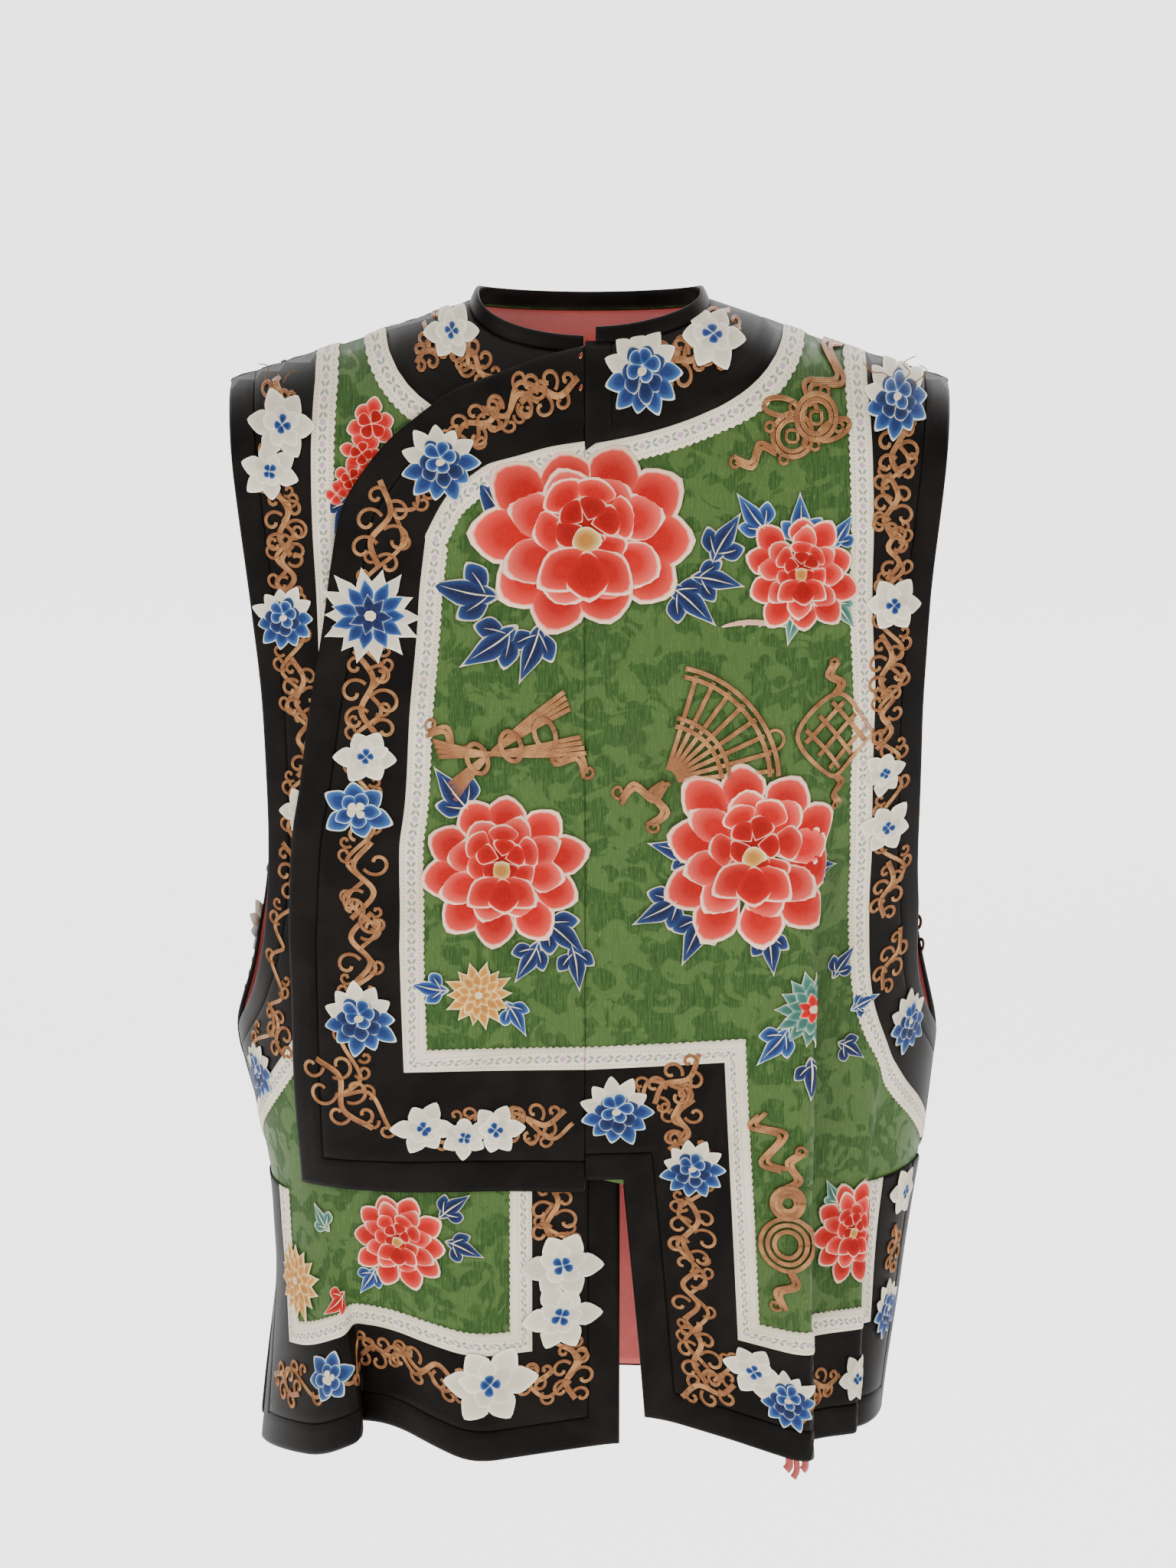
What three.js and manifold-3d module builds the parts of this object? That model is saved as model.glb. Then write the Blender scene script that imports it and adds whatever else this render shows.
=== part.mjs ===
// Embroidered silk vest with a lute-shaped front flap, hollow as worn, in millimetres.
// +Z is up and the front faces -Y. The origin lies between the shoulders, level with the sides of the neck.
// Each piece is cut flat, from a thin slab and an outline, and then laid on the worn shape of its panel.
// On the flat cloth, across runs sideways from the centre line and down runs from the neck to the hem.
import * as THREE from "three";
import Module from "manifold-3d";

const wasm = await Module();
wasm.setup();

// Sizes of the cut
const LENGTH = 736;
const NECK_HALF = 75;
const NECK_TOP = 8;
const NECK_FRONT = 33;
const NECK_BACK = 15;
const SHOULDER_HALF = 229;
const SHOULDER_SLOPE = 0.328;
const SIDE_TOP = 480;
const SLIT_TOP = 628;
const CENTRE_SEAM = -3;
const UNDER_REACH = 18;
const FLAP_BOTTOM = 562;
const NOTCH = { across: 22, down: 558 };
const PLACKET_END = 93;

// Widths of the trimmings
const BINDING = 19;
const BACK_NECK_BAND = 50;
const FLAP_HEM_BAND = 60;
const SLIT_BAND = 40;
const UNDER_CENTRE_BAND = 36;
const HEM_BAND = 50;
const RIBBON = 13;
const STAND = 9;
const SEAM_GAP = 0.3;

// Layers, from the worn surface of the green silk outwards
const LAYERS = {
  lining: { low: -2.6, high: -1.5 },
  ground: { low: -1.2, high: 0 },
  trim: { low: 0.3, high: 1.4 },
};
const FLAP_LIFT = 8;

// Worn shape: a row for each level, with the depth of the front and of the back at the centre,
// the half width of the flat part and the radius of the turn to the side
const LEVELS = [
  { down: 0, front: 74, back: 60, flat: 160, turn: 520 },
  { down: 110, front: 106, back: 84, flat: 128, turn: 330 },
  { down: 240, front: 124, back: 95, flat: 112, turn: 190 },
  { down: 400, front: 122, back: 95, flat: 108, turn: 136 },
  { down: 480, front: 122, back: 96, flat: 108, turn: 124 },
  { down: 575, front: 124, back: 100, flat: 92, turn: 116 },
  { down: 745, front: 128, back: 108, flat: 100, turn: 120 },
];
// Where the side edge of the worn cloth lies at each level, on the wearer's right and left,
// and how far the front and back edges stand apart there
const SIDE_PLACES = [
  { down: 380, right: 214, left: 214, apart: 0.1 },
  { down: 480, right: 229, left: 226, apart: 1 },
  { down: 575, right: 204, left: 212, apart: 1 },
  { down: 628, right: 202, left: 204, apart: 2 },
  { down: 745, right: 215, left: 190, apart: 26 },
];
const PULL_FROM = 170;
const SHOULDER_GAP = 0.8;
const SIDE_GAP = 0.3;
const FRONT_ROLL = 56;
const BACK_ROLL = 34;

// Folds: where each starts across the cloth, its width, the cloth it takes up, how far it steps back,
// and the levels where it begins and is full
const FOLDS = {
  left: [
    { at: 138, width: 34, tuck: 39, depth: 30, from: 215, full: 520 },
    { at: 224, width: 30, tuck: 30, depth: 20, from: 430, full: 610 },
  ],
  under: [
    { at: 70, width: 78, tuck: 6, depth: 30, from: 570, full: 736 },
    { at: 152, width: 32, tuck: 25, depth: -26, from: 570, full: 736 },
  ],
  flap: [{ at: 0, width: 60, tuck: 2, depth: 5, from: 400, full: 562 }],
  back: [
    { at: 60, width: 60, tuck: 8, depth: -14, from: 420, full: 736 },
    { at: 150, width: 60, tuck: 8, depth: 14, from: 420, full: 736 },
  ],
};

// Rise and fall of the hem line of each panel, at places across the cloth
const HEM_SAG = {
  left: [
    [0, -34],
    [45, -30],
    [95, -14],
    [140, 4],
    [190, -4],
    [300, -2],
  ],
  under: [
    [-300, 18],
    [-210, 6],
    [-165, -16],
    [-130, -16],
    [-73, 2],
    [18, -12],
  ],
  flap: [
    [-190, 0],
    [0, 0],
  ],
  back: [
    [-300, 8],
    [0, 0],
    [300, 8],
  ],
};
const SAG_FROM = 480;

// Curves of the cut, as places down and across
const ARMHOLE = [
  { down: 58, across: 229 },
  { down: 120, across: 223 },
  { down: 190, across: 215 },
  { down: 260, across: 210 },
  { down: 340, across: 209 },
  { down: 395, across: 216 },
  { down: 435, across: 236 },
  { down: 462, across: 262 },
  { down: SIDE_TOP, across: 290 },
];
// The left front is cut wider at the side, for the cloth that its folds take up
const LEFT_ARMHOLE = [
  { down: 58, across: 229 },
  { down: 120, across: 223 },
  { down: 190, across: 216 },
  { down: 260, across: 217 },
  { down: 340, across: 231 },
  { down: 395, across: 249 },
  { down: 435, across: 270 },
  { down: 462, across: 297 },
  { down: SIDE_TOP, across: 325 },
];
const FLAP_EDGE = [
  { down: 35, across: 3 },
  { down: 41, across: 33 },
  { down: 49, across: 57 },
  { down: 57, across: 81 },
  { down: 68, across: 100 },
  { down: 86, across: 124 },
  { down: 109, across: 143 },
  { down: 130, across: 154 },
  { down: 163, across: 160 },
  { down: 248, across: 173 },
  { down: 337, across: 187 },
  { down: 400, across: 190 },
  { down: FLAP_BOTTOM, across: 190 },
];
const SIDE = [
  { down: SIDE_TOP, across: 290 },
  { down: 575, across: 288 },
  { down: LENGTH, across: 300 },
];

const LEFT_SIDE = [
  { down: SIDE_TOP, across: 325 },
  { down: 575, across: 325 },
  { down: LENGTH, across: 339 },
];

// Widths of the bands that change along their edge
const ARM_BAND = [
  { down: 58, wide: 41 },
  { down: 97, wide: 36 },
  { down: 154, wide: 31 },
  { down: 240, wide: 26 },
  { down: 340, wide: 27 },
  { down: 395, wide: 34 },
  { down: 435, wide: 37 },
];
const FLAP_BAND = [
  { down: 35, wide: 35 },
  { down: 45, wide: 29 },
  { down: 60, wide: 28 },
  { down: 86, wide: 30 },
  { down: 109, wide: 34 },
  { down: 135, wide: 36 },
  { down: 175, wide: 37 },
  { down: 240, wide: 42 },
  { down: 297, wide: 47 },
  { down: 372, wide: 52 },
  { down: 447, wide: 54 },
];
const LEFT_NECK_BAND = [
  { across: -5, wide: 57 },
  { across: 12, wide: 54 },
  { across: 42, wide: 50 },
  { across: 66, wide: 47 },
  { across: 75, wide: 52 },
];
const UNDER_NECK_BAND = [
  { across: -75, wide: 59 },
  { across: -66, wide: 54 },
  { across: -42, wide: 50 },
];

// Levels below the shoulder line and places across where the draped cloth has its facets
const ROWS = [-12, 0, 6, 20, 44, 95, 180, 270, 350, 420, 485, 545, 605, 670, 745];
const ROWS_LEVEL = 270;
const FRONT_COLUMNS = [-308, -275, -240, -212, -184, -176, -168, -160, -150, -125, -100, -75, -38, 0, 30];
const LEFT_COLUMNS = [-30, 0, 38, 75, 105, 136, 146, 155, 164, 175, 200, 224, 236, 248, 280, 312, 346];
const BACK_COLUMNS = [-308, -270, -235, -200, -160, -115, -75, -38, 0, 38, 75, 115, 160, 200, 235, 270, 308];

const smooth = (t) => {
  const u = Math.min(1, Math.max(0, t));
  return u * u * (3 - 2 * u);
};

// Value of a table at a place, with straight steps between its rows
function between(rows, at, key, value) {
  const last = rows[rows.length - 1];
  if (at <= rows[0][key]) return rows[0][value];
  if (at >= last[key]) return last[value];
  const k = rows.findIndex((row) => row[key] >= at);
  const a = rows[k - 1];
  const b = rows[k];
  return a[value] + ((b[value] - a[value]) * (at - a[key])) / (b[key] - a[key]);
}

const shoulderDrop = (across) => NECK_TOP + Math.max(0, Math.abs(across) - NECK_HALF) * SHOULDER_SLOPE;
const rowDown = (row, across) => row + shoulderDrop(across) * Math.min(1, Math.max(0, 1 - row / ROWS_LEVEL));

// Place in plan of a panel's cloth, before its sides are drawn together: x and the depth behind its centre
function plan(panel, across, down) {
  const level = (value) => between(LEVELS, down, "down", value);
  const isBack = panel === "back";
  const hand = Math.sign(across) || 1;
  const along = Math.abs(across);
  let used = along;
  let stepBack = 0;
  for (const fold of FOLDS[panel]) {
    const grown = smooth((down - fold.from) / (fold.full - fold.from));
    const passed = smooth((along - fold.at) / fold.width) * grown;
    used -= fold.tuck * passed;
    stepBack += fold.depth * passed;
  }
  const front = level("front");
  const turnBack = level("back") + front - level("turn") + 60 * smooth((400 - down) / 400);
  const turn = isBack ? turnBack : level("turn");
  const flat = isBack ? level("flat") + level("turn") - turn : level("flat");
  const angle = Math.max(0, used - flat) / turn;
  const x = hand * (Math.min(used, flat) + turn * Math.sin(angle));
  const inward = turn * (1 - Math.cos(angle)) + stepBack;
  return { x, depth: (isBack ? level("back") : front) - inward };
}

const sideOf = (panel) => (panel === "left" ? LEFT_SIDE : SIDE);

// Point on the worn surface of a panel
function worn(panel, across, down) {
  const isBack = panel === "back";
  const hand = Math.sign(across) || 1;
  const edge = hand * between(sideOf(panel), Math.max(down, SIDE_TOP), "down", "across");
  const pull =
    smooth((Math.abs(across) - PULL_FROM) / (Math.abs(edge) - PULL_FROM)) * smooth((down - 380) / 100);
  const free = plan(panel, across, down);
  const atEdge = plan(panel, edge, down);
  const sideX = hand * between(SIDE_PLACES, down, "down", hand < 0 ? "right" : "left");
  const apart = between(SIDE_PLACES, down, "down", "apart") / 2;
  const x = free.x + (sideX - atEdge.x) * pull;
  const depth = free.depth + (apart - atEdge.depth) * pull;
  const below = (down - shoulderDrop(across)) / (isBack ? BACK_ROLL : FRONT_ROLL);
  const roll = below >= 1 ? 1 : Math.sqrt(Math.max(0, 1 - (1 - Math.max(0, below)) ** 2));
  const sag = between(HEM_SAG[panel], across, 0, 1) * smooth((down - SAG_FROM) / (LENGTH - SAG_FROM));
  const gap = SIDE_GAP + (SHOULDER_GAP - SIDE_GAP) * (1 - roll);
  return new THREE.Vector3(x, (isBack ? 1 : -1) * (depth * roll + gap), -down - sag);
}

// Outward normal of the worn surface
function outward(panel, across, down) {
  const step = 2;
  const alongX = worn(panel, across + step, down).sub(worn(panel, across - step, down));
  const alongDown = worn(panel, across, down + step).sub(worn(panel, across, down - step));
  const normal = new THREE.Vector3().crossVectors(alongDown, alongX).normalize();
  return panel === "back" ? normal.negate() : normal;
}

const lifted = { left: true, flap: true };
const liftOf = (panel, across) => (lifted[panel] ? FLAP_LIFT * (1 - smooth((across - 40) / 150)) : 0);

// Facets of each panel: the draped place and the outward normal at each crossing of rows and columns
function facets(panel, columns) {
  const place = (down, across) => ({
    across,
    down,
    point: worn(panel, across, down),
    normal: outward(panel, across, down),
    lift: liftOf(panel, across),
  });
  return { columns, grid: ROWS.map((row) => columns.map((across) => place(rowDown(row, across), across))) };
}
const PANELS = {
  under: facets("under", FRONT_COLUMNS),
  flap: facets("flap", FRONT_COLUMNS),
  left: facets("left", LEFT_COLUMNS),
  back: facets("back", BACK_COLUMNS),
};

// A flat slab over all rows and columns. Tiny bumps keep its facets apart when it is cut.
function flatSlab(columns) {
  const position = [];
  const index = [];
  const wide = columns.length;
  const layer = ROWS.length * wide;
  for (const side of [-1, 1]) {
    ROWS.forEach((row, j) => {
      columns.forEach((across, i) => {
        const bump = 0.3 * Math.sin(i * 12.99 + j * 78.23 + i * j * 3.7);
        position.push(across, -rowDown(row, across), side + bump);
      });
    });
  }
  const quad = (a, b, c, d) => index.push(a, b, d, b, c, d);
  for (let j = 0; j < ROWS.length - 1; j++) {
    for (let i = 0; i < wide - 1; i++) {
      const a = j * wide + i;
      const [b, c, d] = [a + wide, a + wide + 1, a + 1];
      quad(a + layer, b + layer, c + layer, d + layer);
      index.push(a, d, b, b, d, c);
    }
  }
  const rim = [];
  for (let i = 0; i < wide - 1; i++) rim.push(i);
  for (let j = 0; j < ROWS.length - 1; j++) rim.push(j * wide + wide - 1);
  for (let i = wide - 1; i > 0; i--) rim.push((ROWS.length - 1) * wide + i);
  for (let j = ROWS.length - 1; j > 0; j--) rim.push(j * wide);
  rim.forEach((a, k) => {
    const b = rim[(k + 1) % rim.length];
    index.push(a, a + layer, b, b, a + layer, b + layer);
  });
  return solid(new Float32Array(position), new Uint32Array(index));
}

const solid = (vertProperties, triVerts) =>
  new wasm.Manifold(new wasm.Mesh({ numProp: 3, vertProperties, triVerts }));

// An upright block over a flat outline of [across, down] points
function block(outline) {
  const flat = outline.map(([across, down]) => new THREE.Vector2(across, -down));
  if (!THREE.ShapeUtils.isClockWise(flat)) flat.reverse();
  flat.reverse();
  const faces = THREE.ShapeUtils.triangulateShape(flat, []);
  const n = flat.length;
  const position = [];
  for (const height of [-5, 5]) flat.forEach((p) => position.push(p.x, p.y, height));
  const index = [];
  for (const [a, b, c] of faces) index.push(a + n, b + n, c + n, a, c, b);
  for (let k = 0; k < n; k++) {
    const m = (k + 1) % n;
    index.push(k, m, k + n, m, m + n, k + n);
  }
  return solid(new Float32Array(position), new Uint32Array(index));
}

// Points of a strip beside a path, from its edge to a distance to its right, with mitred corners.
// Each stretch of the path has a distance at its start and one at its end.
function strip(path, edge, distances) {
  const ways = path.slice(1).map(([x, y], k) => {
    const [dx, dy] = [x - path[k][0], y - path[k][1]];
    const length = Math.hypot(dx, dy);
    return [-dy / length, dx / length];
  });
  const offset = (distanceOf) =>
    path.map(([x, y], k) => {
      const before = Math.max(0, k - 1);
      const after = Math.min(ways.length - 1, k);
      const [[ax, ay], [bx, by]] = [ways[before], ways[after]];
      const [p, q] = [distanceOf(before, k ? 1 : 0), distanceOf(after, k < ways.length ? 0 : 1)];
      const turn = ax * by - ay * bx;
      if (Math.abs(turn) < 0.02) return [x + (bx * (p + q)) / 2, y + (by * (p + q)) / 2];
      return [x + (p * by - q * ay) / turn, y + (q * ax - p * bx) / turn];
    });
  return [...offset(() => edge), ...offset((k, end) => distances[k][end]).reverse()];
}

const union = (solids) => solids.reduce((a, b) => a.add(b));

// A path drawn on beyond both of its ends, so that its strip crosses the strips beside it
function drawnOn(path, by) {
  const beyond = (a, b) => {
    const length = Math.hypot(a[0] - b[0], a[1] - b[1]);
    return [a[0] + ((a[0] - b[0]) * by) / length, a[1] + ((a[1] - b[1]) * by) / length];
  };
  return [beyond(path[0], path[1]), ...path, beyond(path[path.length - 1], path[path.length - 2])];
}

// Shares of three corners at a flat point
function sharesOf(a, b, c, across, down) {
  const cross = (p, q, r) =>
    (q.across - p.across) * (r.down - p.down) - (q.down - p.down) * (r.across - p.across);
  const at = { across, down };
  const whole = cross(a, b, c);
  return [cross(at, b, c) / whole, cross(a, at, c) / whole, cross(a, b, at) / whole];
}

// Place of a flat point on the panel's facets, at a height above the worn surface
function laid(panel, across, down, height) {
  const { columns, grid } = PANELS[panel];
  const past = columns.findIndex((edge) => edge > across + 1e-4);
  const i = Math.min(Math.max(past < 0 ? columns.length - 2 : past - 1, 0), columns.length - 2);
  let best = { least: -Infinity };
  for (let j = 0; j < ROWS.length - 1; j++) {
    for (const corner of [grid[j][i], grid[j + 1][i + 1]]) {
      const shares = sharesOf(corner, grid[j + 1][i], grid[j][i + 1], across, down);
      const least = Math.min(...shares);
      if (least > best.least) best = { least, shares, corners: [corner, grid[j + 1][i], grid[j][i + 1]] };
    }
  }
  const place = new THREE.Vector3();
  best.corners.forEach((corner, k) => {
    place.addScaledVector(corner.point, best.shares[k]);
    place.addScaledVector(corner.normal, best.shares[k] * (height + corner.lift));
  });
  return place;
}

// Triangles of the largest body among those given, where neighbours share an edge
function largestBody(triangles, areaOf) {
  const beside = new Map();
  triangles.forEach(([a, b, c], k) => {
    for (const [p, q] of [[a, b], [b, c], [c, a]]) beside.set(`${p} ${q}`, k);
  });
  const seen = new Set();
  let largest = { area: 0, members: [] };
  for (let start = 0; start < triangles.length; start++) {
    if (seen.has(start)) continue;
    seen.add(start);
    const members = [start];
    for (const k of members) {
      const [a, b, c] = triangles[k];
      for (const [p, q] of [[a, b], [b, c], [c, a]]) {
        const next = beside.get(`${q} ${p}`);
        if (next === undefined || seen.has(next)) continue;
        seen.add(next);
        members.push(next);
      }
    }
    const area = members.reduce((sum, k) => sum + areaOf(triangles[k]), 0);
    if (area > largest.area) largest = { area, members };
  }
  return largest.members.map((k) => triangles[k]);
}

// Piece of a panel inside a flat region, draped on the panel's facets at one layer.
// The upper face is cut out of the slab. The lower face and the rim follow it point for point.
function drape(name, panel, region, layer, material) {
  const slab = flatSlab(PANELS[panel].columns).asOriginal();
  const mesh = slab.intersect(region).getMesh();
  const at = (v) => mesh.vertProperties.subarray(v * mesh.numProp, v * mesh.numProp + 3);
  const upper = [];
  mesh.runOriginalID.forEach((id, run) => {
    if (id !== slab.originalID()) return;
    for (let t = mesh.runIndex[run]; t < mesh.runIndex[run + 1]; t += 3) {
      const triangle = [...mesh.triVerts.subarray(t, t + 3)];
      if (triangle.every((v) => at(v)[2] > 0)) upper.push(triangle);
    }
  });
  const areaOf = ([a, b, c]) => {
    const [p, q, r] = [at(a), at(b), at(c)];
    return ((q[0] - p[0]) * (r[1] - p[1]) - (q[1] - p[1]) * (r[0] - p[0])) / 2;
  };
  const kept = largestBody(upper, areaOf);
  const number = new Map();
  const position = [];
  for (const v of kept.flat()) {
    if (number.has(v)) continue;
    number.set(v, number.size);
    const [across, y] = at(v);
    position.push(...laid(panel, across, -y, layer.high), ...laid(panel, across, -y, layer.low));
  }
  const edges = new Set(kept.flatMap(([a, b, c]) => [`${a} ${b}`, `${b} ${c}`, `${c} ${a}`]));
  const index = [];
  for (const triangle of kept) {
    const [a, b, c] = triangle.map((v) => 2 * number.get(v));
    index.push(a, b, c, a + 1, c + 1, b + 1);
  }
  for (const edge of edges) {
    const [a, b] = edge.split(" ");
    if (edges.has(`${b} ${a}`)) continue;
    const [p, q] = [2 * number.get(Number(a)), 2 * number.get(Number(b))];
    index.push(p, p + 1, q, q, p + 1, q + 1);
  }
  if (panel === "back") index.reverse();
  const geometry = new THREE.BufferGeometry();
  geometry.setAttribute("position", new THREE.Float32BufferAttribute(position, 3));
  geometry.setIndex(index);
  geometry.computeVertexNormals();
  const made = new THREE.Mesh(geometry, material);
  made.name = name;
  return made;
}

// Paths of the cut edges, as [across, down] points, on the wearer's left and turned over for the right
const side = (rows, hand) => rows.map(({ down, across }) => [hand * across, down]);
const neckPath = (depth, from, to, steps) =>
  Array.from({ length: steps + 1 }, (_, k) => {
    const angle = from + ((to - from) * k) / steps;
    return [NECK_HALF * Math.sin(angle), NECK_TOP + (depth - NECK_TOP) * Math.cos(angle)];
  });
const QUARTER = Math.PI / 2;
const armhole = (hand, panel) => side(panel === "left" ? LEFT_ARMHOLE : ARMHOLE, hand);
const sideEdge = (hand, panel) => side(sideOf(panel), hand);
const slit = (hand, panel) => [
  [hand * between(sideOf(panel), SLIT_TOP, "down", "across"), SLIT_TOP],
  [hand * sideOf(panel)[2].across, LENGTH],
];
const flapEdge = side(FLAP_EDGE, -1);
const flapHem = [
  [-190, FLAP_BOTTOM],
  [NOTCH.across, NOTCH.down],
];
const leftNotch = [
  [-60, FLAP_BOTTOM],
  [NOTCH.across, NOTCH.down],
  [NOTCH.across + 14, LENGTH],
];
const leftHem = [
  [NOTCH.across + 14, LENGTH],
  [LEFT_SIDE[2].across, LENGTH],
];
const underCentre = [
  [UNDER_REACH, LENGTH],
  [UNDER_REACH, NECK_FRONT],
];
const underHem = [
  [-300, LENGTH],
  [UNDER_REACH, LENGTH],
];
const placket = [
  [CENTRE_SEAM, NECK_FRONT],
  [CENTRE_SEAM, PLACKET_END],
];
const neckUnder = neckPath(NECK_FRONT, -QUARTER, 0.2, 9);
const neckLeft = neckPath(NECK_FRONT, -0.04, QUARTER, 8);
const neckBack = neckPath(NECK_BACK, -QUARTER, QUARTER, 12);

const LEFT_NOTCH_BANDS = [
  [FLAP_HEM_BAND, FLAP_HEM_BAND],
  [51, 45],
];

// Whole outlines of the panels
const OUTLINES = {
  under: [...neckUnder.slice().reverse(), ...armhole(-1), ...sideEdge(-1).slice(1), [UNDER_REACH, LENGTH]],
  flap: [...flapEdge, [CENTRE_SEAM, FLAP_BOTTOM - 1]],
  left: [
    ...neckLeft,
    ...armhole(1, "left"),
    ...sideEdge(1, "left").slice(1),
    leftHem[0],
    [NOTCH.across, NOTCH.down],
    [CENTRE_SEAM + SEAM_GAP, FLAP_BOTTOM - 1],
  ],
  back: [
    ...neckBack,
    ...armhole(1),
    ...sideEdge(1).slice(1),
    ...sideEdge(-1).reverse(),
    ...armhole(-1).reverse().slice(1),
  ],
};

// Borders: the edge each one follows, with the widths of its binding and band.
// A band is one width, or a table with the coordinate that it is read by, or two widths for each stretch.
// A hand of 1 means that the cloth lies to the right of the path, and -1 to the left.
const BORDERS = {
  under: [
    { path: neckUnder, hand: 1, binding: 0, table: UNDER_NECK_BAND, by: "across" },
    { path: armhole(-1), hand: -1, binding: BINDING - 3, table: ARM_BAND, by: "down" },
    { path: slit(-1), hand: -1, binding: BINDING, band: SLIT_BAND },
    { path: underHem, hand: -1, binding: BINDING, band: HEM_BAND },
    { path: underCentre, hand: -1, binding: BINDING, band: UNDER_CENTRE_BAND },
  ],
  flap: [
    { path: flapEdge, hand: -1, binding: BINDING, table: FLAP_BAND, by: "down" },
    { path: flapHem, hand: -1, binding: BINDING, band: FLAP_HEM_BAND },
  ],
  left: [
    { path: neckLeft, hand: 1, binding: 0, table: LEFT_NECK_BAND, by: "across" },
    { path: placket, hand: -1, binding: BINDING + 4, band: 0, ends: 0 },
    { path: armhole(1, "left"), hand: 1, binding: BINDING - 3, table: ARM_BAND, by: "down" },
    { path: slit(1, "left"), hand: 1, binding: BINDING, band: SLIT_BAND },
    { path: leftHem, hand: -1, binding: BINDING, band: HEM_BAND },
    { path: leftNotch, hand: -1, binding: BINDING, bands: LEFT_NOTCH_BANDS },
  ],
  back: [
    { path: neckBack, hand: 1, binding: 0, band: BACK_NECK_BAND },
    { path: armhole(1), hand: 1, binding: BINDING - 3, table: ARM_BAND, by: "down" },
    { path: armhole(-1), hand: -1, binding: BINDING - 3, table: ARM_BAND, by: "down" },
    { path: slit(1), hand: 1, binding: BINDING, band: SLIT_BAND },
    { path: slit(-1), hand: -1, binding: BINDING, band: SLIT_BAND },
    {
      path: [
        [-300, LENGTH],
        [300, LENGTH],
      ],
      hand: -1,
      binding: BINDING,
      band: HEM_BAND,
    },
  ],
};

// Widths of a border's band at the start and the end of each stretch of its path
function bandWidths({ path, band, bands, table, by }) {
  const at = ([across, down]) => (table ? between(table, by === "down" ? down : across, by, "wide") : band);
  return bands ?? path.slice(1).map((point, k) => [at(path[k]), at(point)]);
}

// All of a panel's cloth within each border's own distance of its edge
function margin(panel, widthOf) {
  const strips = BORDERS[panel]
    .map((border) => {
      const open = border.ends !== 0;
      const width = (band) => border.hand * widthOf(border, band);
      const widths = bandWidths(border).map((ends) => ends.map(width));
      const [first, last] = [widths[0][0], widths[widths.length - 1][1]];
      if (!first) return null;
      const path = open ? drawnOn(border.path, 60) : border.path;
      const drawn = open ? [[first, first], ...widths, [last, last]] : widths;
      return block(strip(path, -border.hand * 2, drawn));
    })
    .filter(Boolean);
  return union(strips).intersect(block(OUTLINES[panel]));
}

function trimmings(panel, names, materials) {
  const whole = block(OUTLINES[panel]);
  const bound = margin(panel, (border) => border.binding);
  const boundGap = margin(panel, (border) => (border.binding ? border.binding + SEAM_GAP : 0));
  const bandTo = (more) => margin(panel, (border, band) => band && border.binding + band + more);
  const banded = bandTo(0).subtract(boundGap);
  const edged = bandTo(RIBBON).subtract(bandTo(SEAM_GAP).add(boundGap));
  return [
    [names.binding, bound, materials.satin],
    [names.band, banded, materials.satin],
    [names.ribbon, edged, materials.ribbon],
  ].flatMap(([name, region, material]) =>
    split(region)
      .filter((part) => part.volume() > 900)
      .map((part, k) => {
        const numbered = k ? `${name}_${k + 1}` : name;
        return drape(numbered, panel, part.intersect(whole), LAYERS.trim, material);
      }),
  );
}

const split = (region) => region.decompose().sort((a, b) => b.volume() - a.volume());

// Narrow standing band round the neck, open at the centre front
function neckStand(material) {
  const ring = [];
  const add = (panel, path) =>
    path.forEach(([across, down]) => {
      const point = worn(panel, across, down);
      point.addScaledVector(outward(panel, across, down), liftOf(panel, across) + (panel === "back" ? 0 : 2));
      ring.push(point);
    });
  add("under", neckPath(NECK_FRONT, -0.02, -QUARTER, 10));
  add("back", neckPath(NECK_BACK, -QUARTER, QUARTER, 14).slice(1, -1));
  add("left", neckPath(NECK_FRONT, QUARTER, 0.02, 10));
  const wall = 1.6;
  const position = [];
  for (const point of ring) {
    const out = new THREE.Vector3(point.x, point.y + 8, 0).normalize();
    const foot = point.clone().addScaledVector(out, -1.2).add(new THREE.Vector3(0, 0, 1.8));
    const head = foot.clone().addScaledVector(out, -6).add(new THREE.Vector3(0, 0, STAND));
    const inner = (corner) => corner.clone().addScaledVector(out, -wall);
    const corners = [foot, head, inner(head), inner(foot)];
    corners.forEach((corner) => position.push(corner.x, corner.y, corner.z));
  }
  const index = [0, 2, 1, 0, 3, 2];
  for (let k = 0; k < ring.length - 1; k++) {
    for (let c = 0; c < 4; c++) {
      const [a, b] = [k * 4 + c, k * 4 + ((c + 1) % 4)];
      index.push(a, b, a + 4, b, b + 4, a + 4);
    }
  }
  const end = (ring.length - 1) * 4;
  index.push(end, end + 1, end + 2, end, end + 2, end + 3);
  const geometry = new THREE.BufferGeometry();
  geometry.setAttribute("position", new THREE.BufferAttribute(new Float32Array(position), 3));
  geometry.setIndex(index);
  geometry.computeVertexNormals();
  const made = new THREE.Mesh(geometry, material);
  made.name = "neck_binding";
  return made;
}

function cloth(name, color, roughness) {
  const material = new THREE.MeshStandardMaterial({ color, roughness, metalness: 0, side: THREE.DoubleSide });
  material.name = name;
  return material;
}
const MATERIALS = {
  green: cloth("green silk", 0x35602b, 0.6),
  satin: cloth("black satin", 0x17130f, 0.45),
  ribbon: cloth("woven ribbon", 0xd8cdb8, 0.7),
  red: cloth("red lining", 0xa8352c, 0.65),
};

// The back is joined along its centre seam from two widths of silk
const halfBlock = (hand) =>
  block([
    [hand * (SEAM_GAP / 2), -20],
    [hand * 400, -20],
    [hand * 400, LENGTH + 10],
    [hand * (SEAM_GAP / 2), LENGTH + 10],
  ]);

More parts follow.
